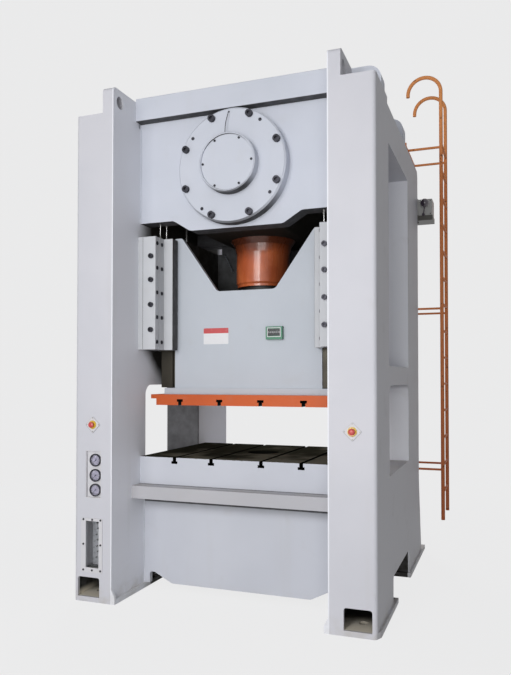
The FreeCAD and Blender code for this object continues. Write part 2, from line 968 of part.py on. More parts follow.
def slide_plate():
    """Die plate under the slide with a stepped edge and T-slots that open downward."""
    rear = 2 * drive_axis - plate_front
    upper = box(-plate_half, plate_half, plate_front, rear, flange_bottom - plate_flange,
                flange_bottom)
    lower = box(-plate_lower_half, plate_lower_half, plate_front, rear, plate_bottom,
                flange_bottom - plate_flange)
    body = upper.fuse(lower).removeSplitter()
    for x in plate_slots:
        for side in (-1, 1):
            body = body.cut(slot_cut(side * x, plate_front, rear, plate_bottom, 1))
    return body


def stroke_counter():
    """Casing of the stroke counter with the recess of its window."""
    x0, x1, z0, z1 = counter_case
    front = slide_front - counter_depth
    body = box(x0, x1, front, slide_front, z0, z1)
    window = box(x0 + 16, x1 - 16, front - 1, front + 4, z0 + 22, z1 - 13)
    return body.cut(window)


def balancer_x():
    return slide_half + balancer_offset


def counterbalance_cylinders():
    """Air cylinders on the oil pan that carry the slide's weight."""
    floor = pan_shelf + pan_sheet
    seal = balancer_rod + 2
    bore = balancer_radius - balancer_wall
    profile = [(seal, floor), (balancer_radius, floor), (balancer_radius, balancer_top),
               (0, balancer_top), (0, balancer_top - 15), (bore, balancer_top - 15),
               (bore, floor + 16), (seal, floor + 16)]
    return both_sides(revolved_z(balancer_x(), drive_axis, profile))


def counterbalance_rods():
    """Rods with their pistons; a collar stands on each slide bracket."""
    shank = balancer_rod - 0.1
    collar = 28
    piston = balancer_radius - balancer_wall - 0.5
    piston_bottom = 3045
    piston_top = 3080
    profile = [(0, bracket_top - 50), (shank, bracket_top - 50), (shank, bracket_top),
               (collar, bracket_top), (collar, bracket_top + 22), (balancer_rod, bracket_top + 22),
               (balancer_rod, piston_bottom), (piston, piston_bottom), (piston, piston_top),
               (0, piston_top)]
    return both_sides(revolved_z(balancer_x(), drive_axis, profile))


# ---- gibs ----

def gib_block():
    """Gib in plan: a clamp plate, a groove, the main arm with its strip before the rail, a side arm."""
    groove_start, groove_end, groove = gib_groove
    seat = slide_front - rail_proud - gib_gap - liner_thickness
    side = rail_half + gib_gap + liner_thickness
    edge = 4
    corners = [
        (opening_half, gib_front, 0),
        (gib_half, gib_front, edge),
        (gib_half, gib_front + groove_start, 0),
        (gib_half + groove, gib_front + groove_start, 0),
        (gib_half + groove, gib_front + groove_end, 0),
        (gib_half, gib_front + groove_end, 0),
        (gib_half, gib_strip_front, 0),
        (gib_strip_half, gib_strip_front, edge),
        (gib_strip_half, seat, 0),
        (side, seat, 0),
        (side, gib_depth, 0),
        (opening_half, gib_depth, 0),
    ]
    return plate_z(corners, gib_bottom, gib_top)


def gib_liner():
    """Bronze angle liner that the rail runs on."""
    front_face = slide_front - rail_proud - gib_gap
    side_face = rail_half + gib_gap
    corners = [
        (liner_half, front_face - liner_thickness, 0),
        (side_face + liner_thickness, front_face - liner_thickness, 0),
        (side_face + liner_thickness, gib_depth, 0),
        (side_face, gib_depth, 0),
        (side_face, front_face, 0),
        (liner_half, front_face, 0),
    ]
    return plate_z(corners, gib_bottom, gib_top)


# ---- bed and bolster ----

def bed_plate(y0, y1):
    """Front or rear wall of the bed with its cut-away lower edge."""
    right = [
        (opening_half, base_thickness, 0),
        (opening_half, ledge_bottom, 0),
    ]
    left = [(-u, v, radius) for u, v, radius in reversed(right)]
    leg, knee, foot = bed_cutaway
    lower = [
        (-leg, base_thickness, 0),
        (-leg, 122, 22),
        (-knee, 118, 14),
        (-foot, 45, 60),
        (foot, 45, 60),
        (knee, 118, 14),
        (leg, 122, 22),
        (leg, base_thickness, 0),
    ]
    return plate_y(right + left + lower, y0, y1)


def bed_top_plate():
    """Top of the bed with its two ribs, run forward as a ledge, and the drop hole."""
    body = box(-opening_half, opening_half, ledge_front, bed_rear + bed_wall, ledge_bottom,
               bolster_bottom)
    x0, x1, low = bed_rib
    hole_z, hole_radius = bed_rib_hole
    rib = box(x0, x1, bed_front + bed_wall, bed_rear, low, ledge_bottom)
    rib = rib.cut(turned_x(drive_axis, hole_z, hole_radius, x0 - 1, x1 + 1))
    body = fused([body] + both_sides(rib))
    return body.cut(turned_z(0, drive_axis, bolster_bore + 25, ledge_bottom - 1, bolster_bottom + 1))


def bolster_plate():
    """Bolster with four T-slots along Y and a round drop hole."""
    body = box(-opening_half, opening_half, bolster_front, bolster_rear, bolster_bottom, bolster_top)
    for x in bolster_slots:
        for side in (-1, 1):
            body = body.cut(slot_cut(side * x, bolster_front, bolster_rear, bolster_top, -1))
    return body.cut(turned_z(0, drive_axis, bolster_bore, bolster_bottom - 1, bolster_top + 1))


# ---- rear drive ----

def gear_case():
    """Sheet case round the main gear and pinion, with the posts that carry the flywheel guard."""
    inner_radius = gear_module * gear_teeth / 2 + gear_module + case_gap
    pinion_case = gear_module * pinion_teeth / 2 + gear_module + case_gap
    y0 = crown_rear + crown_wall
    y1 = gear_front + gear_width + 40
    place = ((0, crank_z), (pinion_x, pinion_z()))
    outer = Part.Face(tangent_outline(place[0], inner_radius + case_sheet, place[1],
                                      pinion_case + case_sheet, y0))
    inner = Part.Face(tangent_outline(place[0], inner_radius, place[1], pinion_case, y0))
    body = outer.extrude(Vector(0, y1 - y0, 0))
    body = body.cut(inner.extrude(Vector(0, y1 - y0 - case_sheet, 0)))
    bearing_radius = 80
    bearing_end = y1 + 25
    cover_radius = 150
    bearing = turned_y(pinion_x, pinion_z(), bearing_radius, y1 - case_sheet, bearing_end)
    cover = turned_y(0, crank_z, cover_radius, y1 - 1, y1 + 12)
    posts = [turned_y(x, z, guard_post_radius, y1 - case_sheet, guard_front) for x, z in guard_posts]
    body = fused([body, bearing, cover] + posts)
    bore = turned_y(pinion_x, pinion_z(), shaft_radius + running_gap, y1 - case_sheet - 1, bearing_end + 1)
    return body.cut(bore)


def flywheel():
    """Cast flywheel with a grooved rim, a dished web with round holes and a hub."""
    y0 = flywheel_front
    y1 = y0 + flywheel_width
    bore = shaft_radius + running_gap
    dish = 45
    hub_dish = 35
    profile = [(bore, y0), (flywheel_hub, y0), (flywheel_hub, y0 + hub_dish),
               (flywheel_rim, y0 + dish), (flywheel_rim, y0), (flywheel_radius, y0)]
    profile += belt_grooves(flywheel_radius)
    profile += [(flywheel_radius, y1), (flywheel_rim, y1), (flywheel_rim, y1 - dish),
                (flywheel_hub, y1 - hub_dish), (flywheel_hub, y1), (bore, y1)]
    body = revolved_y(pinion_x, pinion_z(), profile)
    count, circle, radius = flywheel_holes
    for i in range(count):
        angle = math.radians(18) + 2 * math.pi * i / count
        x = pinion_x + circle * math.cos(angle)
        z = pinion_z() + circle * math.sin(angle)
        body = body.cut(turned_y(x, z, radius, y0, y1))
    return body


def belt_middles():
    """Y of each belt's middle, the same on the flywheel and on the motor pulley."""
    centre = flywheel_front + flywheel_width / 2
    return [centre + (i - (belt_count - 1) / 2) * belt_pitch for i in range(belt_count)]


def belt_grooves(radius):
    """Profile points of the V-grooves in a rim of this radius."""
    points = []
    for middle in belt_middles():
        points += [(radius, middle - 11), (radius - groove_depth, middle - 6),
                   (radius - groove_depth, middle + 6), (radius, middle + 11)]
    return points


def clutch_brake():
    """Pneumatic clutch and brake drum on the outer end of the pinion shaft."""
    y0 = flywheel_front + flywheel_width + 6
    drum = 150
    fins = 185
    cap = 110
    depth = 95
    profile = [(shaft_radius, y0), (drum, y0), (drum, y0 + 20), (fins, y0 + 20), (fins, y0 + 60),
               (drum, y0 + 60), (drum, y0 + 78), (cap, y0 + depth), (shaft_radius, y0 + depth)]
    return revolved_y(pinion_x, pinion_z(), profile)


def motor_pulley():
    """Grooved pulley with the motor's shaft, which runs on into the motor."""
    y0 = flywheel_front + (flywheel_width - pulley_width) / 2
    y1 = y0 + pulley_width
    profile = [(motor_shaft, y0), (pulley_radius, y0)]
    profile += belt_grooves(pulley_radius)
    profile += [(pulley_radius, y1), (motor_shaft, y1)]
    body = revolved_y(motor_x, motor_z, profile)
    shaft = turned_y(motor_x, motor_z, motor_shaft, motor_rear - 90, y1)
    return body.fuse(shaft).removeSplitter()


def v_belts():
    """Belts that run in the grooves of the flywheel and the motor pulley."""
    large = flywheel_radius - groove_depth + 1.5
    small = pulley_radius - groove_depth + 1.5
    first = (pinion_x, pinion_z())
    second = (motor_x, motor_z)
    along = Vector(0, belt_width, 0)
    belts = []
    for middle in belt_middles():
        y0 = middle - belt_width / 2
        inner = Part.Face(tangent_outline(first, large, second, small, y0))
        outer = Part.Face(tangent_outline(first, large + belt_thickness, second,
                                          small + belt_thickness, y0))
        belts.append(outer.extrude(along).cut(inner.extrude(along)))
    return belts


def flywheel_guard():
    """Sheet guard round the flywheel and belts, open at the hub for the clutch."""
    sheet = guard_sheet
    y0 = guard_front
    y1 = flywheel_front + flywheel_width + 30
    middle = (y0 + y1) / 2
    first = (pinion_x, pinion_z())
    second = (motor_x, motor_z)
    large, small = guard_radii
    clutch_hole = 210
    shaft_hole = 110
    motor_hole = 60
    outer = Part.Face(tangent_outline(first, large, second, small, y0))
    inner = Part.Face(tangent_outline(first, large - sheet, second, small - sheet, y0 + sheet))
    body = outer.extrude(Vector(0, y1 - y0, 0))
    body = body.cut(inner.extrude(Vector(0, y1 - y0 - 2 * sheet, 0)))
    body = body.cut(turned_y(pinion_x, pinion_z(), clutch_hole, middle, y1 + 1))
    body = body.cut(turned_y(pinion_x, pinion_z(), shaft_hole, y0 - 1, middle))
    return body.cut(turned_y(motor_x, motor_z, motor_hole, y0 - 1, middle))


def motor():
    """Foot-mounted motor on its base plate over the crown's rear edge."""
    x, z = motor_x, motor_z
    y0, y1 = motor_front, motor_rear
    shield = 45
    cowl = 70
    base = 25
    base_half = 190
    pieces = [turned_y(x, z, motor_radius - 12, y0 + cowl - 10, y1 - shield + 15)]
    for i in range(motor_fins):
        fin = box(-4, 4, y0 + cowl, y1 - shield, motor_radius - 25, motor_radius)
        fin.rotate(Vector(0, 0, 0), Vector(0, 1, 0), 360 * i / motor_fins)
        fin.translate(Vector(x, 0, z))
        pieces.append(fin)
    pieces.append(turned_y(x, z, motor_radius, y1 - shield, y1))
    pieces.append(turned_y(x, z, motor_radius - 4, y0, y0 + cowl))
    middle = (y0 + y1) / 2
    pieces.append(box(x + 60, x + 215, middle - 80, middle + 60, z - 70, z + 70))
    for foot in (x - 125, x + 65):
        pieces.append(box(foot, foot + 60, y0 + 100, y1 - 70, crown_top + base - 1, z - 60))
    pieces.append(box(x - base_half, x + base_half, y0 - 30, y1 + 30, crown_top, crown_top + base))
    bore = turned_y(x, z, motor_shaft + running_gap, y1 - 100, y1 + 1)
    return fused(pieces).cut(bore)


# ---- controls ----

def gauge_panel():
    """Shallow tray let into the left column's front."""
    x0, x1, z0, z1 = gauge_recess
    sheet = 5
    tray = box(x0, x1, 2, wall - 1, z0, z1)
    tray = tray.cut(box(x0 + sheet, x1 - sheet, 1, wall - 1 - sheet, z0 + sheet, z1 - sheet))
    for z in gauge_heights:
        tray = tray.cut(turned_y(gauge_x, z, gauge_radius - gauge_rim, wall - 8, wall))
    return tray


def pressure_gauges():
    """Cases with their dials; each is bored for its needle's spindle."""
    mouth = gauge_radius - gauge_rim
    seat = wall - 6
    cases = []
    for z in gauge_heights:
        profile = [(0, gauge_back), (mouth, gauge_back), (mouth, seat), (gauge_radius, seat),
                   (gauge_radius, 6), (gauge_radius - 3, 3), (mouth, 3), (mouth, gauge_dial),
                   (0, gauge_dial)]
        case = revolved_y(gauge_x, z, profile)
        bore = turned_y(gauge_x, z, spindle_radius + running_gap, gauge_dial - 1, gauge_back - 10)
        cases.append(case.cut(bore))
    return cases


def gauge_lenses():
    return [turned_y(gauge_x, z, gauge_radius - gauge_rim, 5, 7) for z in gauge_heights]


def gauge_needle(z):
    """Pointer on its short spindle; at rest it points down to the left, at zero."""
    hub_end = gauge_dial - 1.5
    tail = 8
    tip = 30
    hub = turned_y(gauge_x, z, 4, 9, hub_end)
    spindle = turned_y(gauge_x, z, spindle_radius, hub_end, gauge_back - 12)
    blade = plate_y([(gauge_x - 1.8, z - tail, 0), (gauge_x + 1.8, z - tail, 0),
                     (gauge_x + 0.6, z + tip, 0), (gauge_x - 0.6, z + tip, 0)], 9.5, 10.7)
    body = hub.fuse(spindle).fuse(blade)
    body.rotate(Vector(gauge_x, 0, z), Vector(0, 1, 0), needle_zero)
    return body


def inspection_frame_plate():
    x0, x1, z0, z1 = inspection_frame
    body = plate_y(rectangle(x0, x1, z0, z1, 10), -5, 0)
    x0, x1, z0, z1 = inspection_opening
    return body.cut(box(x0, x1, -6, 1, z0, z1))


def inspection_pane():
    """Pane in the column's opening, held from the front by the frame's inner edge."""
    x0, x1, z0, z1 = inspection_opening
    lap = pane_lap
    return box(x0 - lap, x1 + lap, 0, 4, z0 - lap, z1 + lap)


def air_unit():
    """Filter, regulator and oiler with their pipe, on the column's inner wall."""
    x = -opening_half - inner_wall - 29
    y = 105
    half = 24
    bowl = 20
    pieces = [turned_z(x, y, 10, 225, 560)]
    for z in air_unit_heights:
        pieces.append(box(x - half, x + half, y - half - 1, y + half + 1, z - half, z + half))
        pieces.append(turned_z(x, y, bowl, z - 60, z))
    middle = air_unit_heights[1]
    pieces.append(box(x, -opening_half - inner_wall, y - 10, y + 10, middle - 20, middle + 20))
    return fused(pieces)


def estop_plate(side):
    """Square plate that stands on its corner."""
    half = estop_plate_half
    x = side * estop_x
    corners = [(x - half, estop_z, 6), (x, estop_z - half, 6),
               (x + half, estop_z, 6), (x, estop_z + half, 6)]
    return plate_y(corners, -4, 0).cut(turned_y(x, estop_z, estop_stem + 0.2, -5, 1))


def estop_base(side):
    x = side * estop_x
    bore = estop_stem + 0.2
    return revolved_y(x, estop_z, [(bore, -4), (30, -4), (30, -10), (27, -13), (bore, -13)])


def estop_button(side):
    """Mushroom button on its stem."""
    x = side * estop_x
    profile = [(0, 30), (estop_stem, 30), (estop_stem, -19), (20, -20), (21.5, -26), (19, -33),
               (11, -37), (0, -38)]
    return revolved_y(x, estop_z, profile)


def valve_box():
    """Box on its tray, held off the right upright's rear wall, with a boss for its hand lever."""
    front = upright_depth + valve_gap
    x0, x1, z0, z1 = valve_case
    case = box(x0, x1, front, front + valve_depth, z0, z1)
    x0, x1, z0, z1 = valve_tray
    tray = box(x0, x1, front - 5, front + valve_depth + 5, z0, z1)
    x0, x1, z0, z1 = valve_plate
    plate = box(x0, x1, upright_depth, front, z0, z1)
    boss = turned_y(valve_pivot[0], valve_pivot[1], 16, front - 6, front)
    return fused([case, tray, plate, boss])


def valve_lever():
    """Hand lever with a ball knob on a stud; it turns about the boss on the box's front."""
    x, z = valve_pivot
    y = upright_depth + 8
    hub = turned_y(x, z, 12, y - 6, upright_depth + valve_gap - 6.1)
    arm = turned_z(x, y, 5, z, z + valve_arm)
    stud = turned_y(x, z + valve_arm, 5, y - valve_stud, y + 5)
    knob = Part.makeSphere(valve_knob, Vector(x, back(y - valve_stud), z + valve_arm))
    body = fused([hub, arm, stud, knob])
    body.rotate(Vector(x, 0, z), Vector(0, 1, 0), valve_lean)
    return body


def lube_lines():
    """Thin grease lines from the crown down to the tops of the gibs."""
    lines = []
    for x, y in lube_lines_at:
        lines += both_sides(turned_z(x, y, lube_line_radius, gib_top, crown_bottom))
    return lines


# ---- ladder ----

def tube_along(points, radius):
    """Round tube through corner points with an arc at each inner corner (x, y, z, arc)."""
    edges = []
    start = Vector(*points[0][:3])
    for i in range(1, len(points) - 1):
        corner = Vector(*points[i][:3])
        arc = points[i][3]
        before = (Vector(*points[i - 1][:3]) - corner).normalize()
        after = (Vector(*points[i + 1][:3]) - corner).normalize()
        half = before.getAngle(after) / 2
        reach = arc / math.tan(half)
        first = corner + before * reach
        last = corner + after * reach
        middle = corner + (before + after).normalize() * (arc / math.sin(half) - arc)
        if (first - start).Length > 0.01:
            edges.append(Part.LineSegment(start, first).toShape())
        edges.append(Part.Arc(first, middle, last).toShape())
        start = last
    end = Vector(*points[-1][:3])
    edges.append(Part.LineSegment(start, end).toShape())
    path = Part.Wire(edges)
    along = Vector(*points[1][:3]) - Vector(*points[0][:3])
    ring = Part.Wire([Part.makeCircle(radius, Vector(*points[0][:3]), along)])
    return path.makePipeShell([ring], True, False)


def ladder_rails():
    """Two tube stringers hooked over at the top."""
    pieces = []
    arc = hook_radius - 0.5
    top = ladder_top - ladder_tube
    hooked_x = ladder_x - 2 * hook_radius
    for y in (ladder_front, ladder_rear):
        at = back(y)
        points = [
            (ladder_x, at, ladder_bottom, 0),
            (ladder_x, at, top, arc),
            (hooked_x, at, top, arc),
            (hooked_x, at, ladder_top - hook_drop, 0),
        ]
        pieces.append(tube_along(points, ladder_tube))
    return pieces


def ladder_rungs():
    """Round rungs, each notched to sit on the stringers' tubes."""
    rungs = []
    height = ladder_bottom + rung_pitch
    highest = ladder_top - 2 * rung_pitch
    front, rear = [turned_z(ladder_x, y, ladder_tube, ladder_bottom, highest + rung_pitch)
                   for y in (ladder_front, ladder_rear)]
    while height < highest:
        rung = turned_y(ladder_x, height, rung_radius, ladder_front, ladder_rear)
        rungs.append(rung.cut(front).cut(rear))
        height += rung_pitch
    return rungs


def ladder_brackets():
    """Frames that hold the ladder off the upright's rear wall; the top one stands on a post."""
    frames = []
    inner = bracket_inner
    beam = bracket_half + 1
    half = bracket_half
    pad = bracket_pad
    pad_rear = upright_depth + 8
    for z in bracket_heights:
        bars = [box(inner - beam, inner + beam, upright_depth, ladder_rear + beam, z - beam, z + beam)]
        for y in (ladder_front, ladder_rear):
            bar = box(inner, ladder_x, y - half, y + half, z - half, z + half)
            bars.append(bar.cut(turned_z(ladder_x, y, ladder_tube, z - beam, z + beam)))
        foot = min(z, rear_height - 130)
        bars.append(box(inner - pad, inner + pad, upright_depth, pad_rear, foot - pad, foot + pad))
        if z > foot:
            post = 20
            bars.append(box(inner - post, inner + post, pad_rear, pad_rear + post, foot, z + beam))
        frames.append(fused(bars))
    return frames


def build():
    right = right_upright()
    return {
        "left_upright": left_upright(right),
        "right_upright": right,
        "crown_front_wall": crown_front_wall(),
        "crown_rear_wall": crown_rear_wall(),
        "crown_top_plate": crown_top_plate(),
        "header_cover": header_cover(),
        "oil_pan": oil_pan(),
        "crank_bearing_cap": crank_bearing_cap(),
        "hub_cover": hub_cover(),
        "frame_bolts": frame_bolts(),
        "crank_bushes": crank_bushes(),
        "plunger_sleeve": plunger_sleeve(),
        "gib_blocks": four_corners(gib_block()),
        "gib_liners": four_corners(gib_liner()),
        "bed_front_plate": bed_plate(bed_front, bed_front + bed_wall),
        "bed_rear_plate": bed_plate(bed_rear, bed_rear + bed_wall),
        "bed_top_plate": bed_top_plate(),
        "bolster_plate": bolster_plate(),
        "gear_case": gear_case(),
        "flywheel_guard": flywheel_guard(),
        "motor": motor(),
        "v_belts": v_belts(),
        "counterbalance_cylinders": counterbalance_cylinders(),
        "gauge_panel": gauge_panel(),
        "pressure_gauges": pressure_gauges(),
        "gauge_lenses": gauge_lenses(),
        "inspection_frame": inspection_frame_plate(),
        "inspection_pane": inspection_pane(),
        "air_unit": air_unit(),
        "estop_plates": [estop_plate(-1), estop_plate(1)],
        "estop_bases": [estop_base(-1), estop_base(1)],
        "valve_box": valve_box(),
        "lube_lines": lube_lines(),
        "ladder_rails": ladder_rails(),
        "ladder_rungs": ladder_rungs(),
        "ladder_brackets": ladder_brackets(),
        "crankshaft": crankshaft(),
        "main_gear": main_gear(),
        "connecting_rod": connecting_rod(),
        "wrist_pin": wrist_pin(),
        "plunger": plunger(),
        "slide_front_plate": slide_front_plate(),
        "slide_rear_plate": slide_rear_plate(),
        "slide_side_plates": slide_side_plates(),
        "slide_base": slide_base(),
        "slide_plate": slide_plate(),
        "slide_rails": slide_rails(),
        "adjusting_nut": adjusting_nut(),
        "stroke_counter": stroke_counter(),
        "counterbalance_rods": counterbalance_rods(),
        "pinion_shaft": pinion_shaft(),
        "clutch_brake": clutch_brake(),
        "flywheel": flywheel(),
        "motor_pulley": motor_pulley(),
        "left_estop_button": estop_button(-1),
        "right_estop_button": estop_button(1),
        "upper_needle": gauge_needle(gauge_heights[0]),
        "middle_needle": gauge_needle(gauge_heights[1]),
        "lower_needle": gauge_needle(gauge_heights[2]),
        "valve_lever": valve_lever(),
    }


def main():
    os.makedirs("parts", exist_ok=True)
    for name, shape in build().items():
        if isinstance(shape, list):
            shape = Part.makeCompound(shape)
        if not shape.isValid() or not shape.Solids:
            print("check this shape:", name)
        shape.exportStep("parts/" + name + ".step")
        print(name, len(shape.Solids), "solids", round(shape.Volume / 1e6, 2), "litres")


main()
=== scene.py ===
import json
import math

import bmesh
import bpy
from mathutils import Euler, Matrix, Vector


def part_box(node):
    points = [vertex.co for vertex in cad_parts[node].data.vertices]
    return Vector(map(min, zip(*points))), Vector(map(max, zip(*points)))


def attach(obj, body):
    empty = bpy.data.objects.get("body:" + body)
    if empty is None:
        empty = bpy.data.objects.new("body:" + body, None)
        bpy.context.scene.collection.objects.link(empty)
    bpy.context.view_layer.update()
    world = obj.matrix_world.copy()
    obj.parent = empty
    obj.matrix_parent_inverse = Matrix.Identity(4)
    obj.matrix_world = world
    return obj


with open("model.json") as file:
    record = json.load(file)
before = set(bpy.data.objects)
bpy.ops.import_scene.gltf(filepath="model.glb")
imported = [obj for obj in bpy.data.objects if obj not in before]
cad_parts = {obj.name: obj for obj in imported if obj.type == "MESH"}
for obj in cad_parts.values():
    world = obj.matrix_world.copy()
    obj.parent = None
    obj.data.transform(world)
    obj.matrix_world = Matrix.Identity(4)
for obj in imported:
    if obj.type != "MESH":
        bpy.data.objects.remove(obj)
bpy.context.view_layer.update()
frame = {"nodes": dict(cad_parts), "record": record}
print("frame loaded:", len(frame["nodes"]), "nodes")

scene = bpy.context.scene
scene.view_settings.view_transform = "Standard"

cameraSettings = {
    "eye": (1.848, -5.318, 1.6),        # standing height, in front of the right upright
    "tiltUp": 1.22,                     # degrees above level
    "turnLeft": 20.39,                  # degrees from straight back
    "lens": 36.045,
    "shiftUp": 0.0394,
}


def placeCamera(eye, tiltUp, turnLeft, lens, shiftUp):
    data = bpy.data.cameras.new("camera")
    data.lens = lens
    data.sensor_width = 36
    data.shift_y = shiftUp
    data.clip_end = 200
    camera = bpy.data.objects.new("camera", data)
    camera.location = eye
    camera.rotation_euler = Euler((math.radians(90 + tiltUp), 0, math.radians(turnLeft)))
    scene.collection.objects.link(camera)
    scene.camera = camera


placeCamera(**cameraSettings)


# places that several pieces and finishes share, in metres
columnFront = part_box("left_upright")[0][1]
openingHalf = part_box("bed_front_plate")[1][0]
outerHalf = 1.0950                      # where the uprights' outer walls begin
slotMiddles = (0.163, 0.490)            # the slide plate's T-slots, on each side
gibLow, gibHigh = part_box("gib_blocks")
slideMiddle = (gibLow[1] + gibHigh[1]) / 2
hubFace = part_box("hub_cover")[0][1]
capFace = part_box("hub_cover")[1][1] + 0.030             # the cap's face lies behind the hub's cover
crankHeight = 3.135
crownBottom = 2.790
pinionX = -0.300
pinionZ = 3.6267
forward = (0, -1, 0)
rearward = (0, 1, 0)
upward = (0, 0, 1)
downward = (0, 0, -1)
sunk = 0.001                            # how far a fastener's foot goes into what carries it


def back(distance):
    # a depth measured from the uprights' front faces
    return columnFront + distance


class Wire:
    # a shader socket that takes part in arithmetic; every operation adds its Math node
    def __init__(self, finish, socket):
        self.finish = finish
        self.socket = socket

    def calc(self, operation, left, right=0.0):
        return self.finish.add("Math", {"operation": operation}, {0: left, 1: right})

    def __add__(self, other):
        return self.calc("ADD", self, other)

    __radd__ = __add__

    def __mul__(self, other):
        return self.calc("MULTIPLY", self, other)

    __rmul__ = __mul__

    def __sub__(self, other):
        return self.calc("SUBTRACT", self, other)

    def __rsub__(self, other):
        return self.calc("SUBTRACT", other, self)

    def __neg__(self):
        return 0.0 - self

    def __abs__(self):
        return self.calc("ABSOLUTE", self)

    def root(self):
        return self.calc("SQRT", self)

    def larger(self, other):
        return self.calc("MAXIMUM", self, other)

    def smaller(self, other):
        return self.calc("MINIMUM", self, other)

    def rise(self, low, high):
        # 0 below low, 1 above high, smooth between
        settings = {"interpolation_type": "SMOOTHSTEP", "clamp": True}
        return self.finish.add("MapRange", settings, {0: self, 1: low, 2: high, 3: 0.0, 4: 1.0})

    def fall(self, low, high):
        return 1 - self.rise(low, high)

    def band(self, low, high, soft):
        # 1 between low and high
        return self.rise(low - soft, low + soft) * self.fall(high - soft, high + soft)


class Finish:
    # one procedural material, built around its Principled shader
    def __init__(self, name, colour):
        self.material = bpy.data.materials.new(name)
        self.material.use_nodes = True
        self.tree = self.material.node_tree
        self.shader = self.tree.nodes["Principled BSDF"]
        self.colour = colour
        self.place = self.add("TexCoord", {}, {}, "Object")
        self.x, self.y, self.z = self.split(self.place)
        self.faceX, self.faceY, self.faceZ = self.split(self.add("NewGeometry", {}, {}, "Normal"))
        self.depth = self.y - columnFront

    def add(self, kind, settings, inputs, output=0):
        node = self.tree.nodes.new("ShaderNode" + kind)
        for key, value in settings.items():
            setattr(node, key, value)
        for key, value in inputs.items():
            self.feed(node.inputs[key], value)
        return Wire(self, node.outputs[output])

    def feed(self, socket, value):
        if isinstance(value, Wire):
            self.tree.links.new(value.socket, socket)
        else:
            socket.default_value = (*value, 1) if socket.type == "RGBA" else value

    def split(self, wire):
        node = self.add("SeparateXYZ", {}, {0: wire}).socket.node
        return [Wire(self, output) for output in node.outputs]

    def noise(self, scale, detail=3, stretch=None):
        vector = self.place
        if stretch:
            vector = self.add("VectorMath", {"operation": "MULTIPLY"}, {0: vector, 1: stretch})
        return self.add("TexNoise", {}, {"Vector": vector, "Scale": scale, "Detail": detail}, "Fac")

    def mix(self, factor, first, second):
        settings = {"data_type": "RGBA", "clamp_factor": True}
        return self.add("Mix", settings, {0: factor, 6: first, 7: second}, 2)

    def cover(self, amount, colour):
        # lays a colour over what is there
        self.colour = self.mix(amount, self.colour, colour)

    def close(self, roughness, bump=None, **others):
        # bump is a height, its strength and its distance
        for name, value in dict(others, colour=self.colour, roughness=roughness).items():
            self.feed(self.shader.inputs[socketNames[name]], value)
        if bump:
            inputs = dict(zip(("Height", "Strength", "Distance"), bump))
            self.feed(self.shader.inputs["Normal"], self.add("Bump", {}, inputs, "Normal"))
        return self


socketNames = {
    "colour": "Base Color",
    "roughness": "Roughness",
    "metallic": "Metallic",
    "coat": "Coat Weight",
    "coatRoughness": "Coat Roughness",
    "specular": "Specular IOR Level",
    "transmission": "Transmission Weight",
    "ior": "IOR",
    "alpha": "Alpha",
}


stageSettings = {
    "background": 0.823,                # what the camera sees behind the press
    "ambient": 0.25,                    # what lights it from all round
    "skyColour": (0.97, 0.98, 1.0),
    "floorGlow": 0.880,                 # its glow near the press, where it also shows the shadow
    "floorShadow": 0.10,                # how much of the shadow the floor shows
    "shadowReach": (3.0, 6.0),          # the shadow fades out between these distances
    "floorColour": (0.55, 0.55, 0.55),
    "floorHalf": 60,
    "floorDrop": 0.0005,
}
lampSettings = {
    # place, aims at, width, height, watts
    "key": ((-1.4, -11.0, 4.1), (0.0, -0.8, 1.9), 4.5, 3.5, 355),
    "fill": ((2.9, -9.2, 1.5), (0.3, -0.8, 1.8), 3.4, 3.0, 205),
    "bay": ((0.1, -5.6, 2.2), (-0.8, -0.4, 1.8), 0.6, 3.4, 56),
    "rear": ((-4.5, 8.0, 5.5), (0, 0.6, 2.2), 4.0, 4.0, 420),
}


def paleGrey(value):
    return (value, value, value * 1.004)


def cameraRay(finish):
    # rays that should see the bright background: straight, mirrored and through glass
    straight, mirrored, through = [finish.add("LightPath", {}, {}, "Is %s Ray" % kind)
                                   for kind in ("Camera", "Glossy", "Transmission")]
    return straight.larger(mirrored).larger(through)


class WorldFinish(Finish):
    # the same helpers on the world's own nodes
    def __init__(self, world):
        self.tree = world.node_tree


def buildWorld(settings):
    world = bpy.data.worlds.new("studio")
    scene.world = world
    world.use_nodes = True
    finish = WorldFinish(world)
    backdrop = finish.add("Background", {}, {"Color": paleGrey(settings["background"])})
    lighting = finish.add("Background", {}, {"Color": settings["skyColour"],
                                             "Strength": settings["ambient"]})
    shown = finish.add("MixShader", {}, {0: cameraRay(finish), 1: lighting, 2: backdrop})
    finish.feed(finish.tree.nodes["World Output"].inputs["Surface"], shown)


def buildFloor(settings):
    half = settings["floorHalf"]
    mesh = bpy.data.meshes.new("studio_floor")
    mesh.from_pydata([(x * half, y * half, -settings["floorDrop"])
                      for x, y in ((-1, -1), (1, -1), (1, 1), (-1, 1))], [], [(0, 1, 2, 3)])
    floor = bpy.data.objects.new("studio_floor", mesh)
    scene.collection.objects.link(floor)
    finish = Finish("studio_floor", settings["floorColour"]).close(0.9, specular=0.0)
    reach = finish.add("VectorMath", {"operation": "LENGTH"}, {0: finish.place}, "Value")
    near = reach.fall(*settings["shadowReach"])
    colour = finish.mix(near, paleGrey(settings["background"]), paleGrey(settings["floorGlow"]))
    glow = finish.add("Emission", {}, {"Color": colour})
    lit = Wire(finish, finish.shader.outputs[0])
    amount = cameraRay(finish) * (1 - near * settings["floorShadow"])
    shown = finish.add("MixShader", {}, {0: amount, 1: lit, 2: glow})
    finish.feed(finish.tree.nodes["Material Output"].inputs["Surface"], shown)
    mesh.materials.append(finish.material)


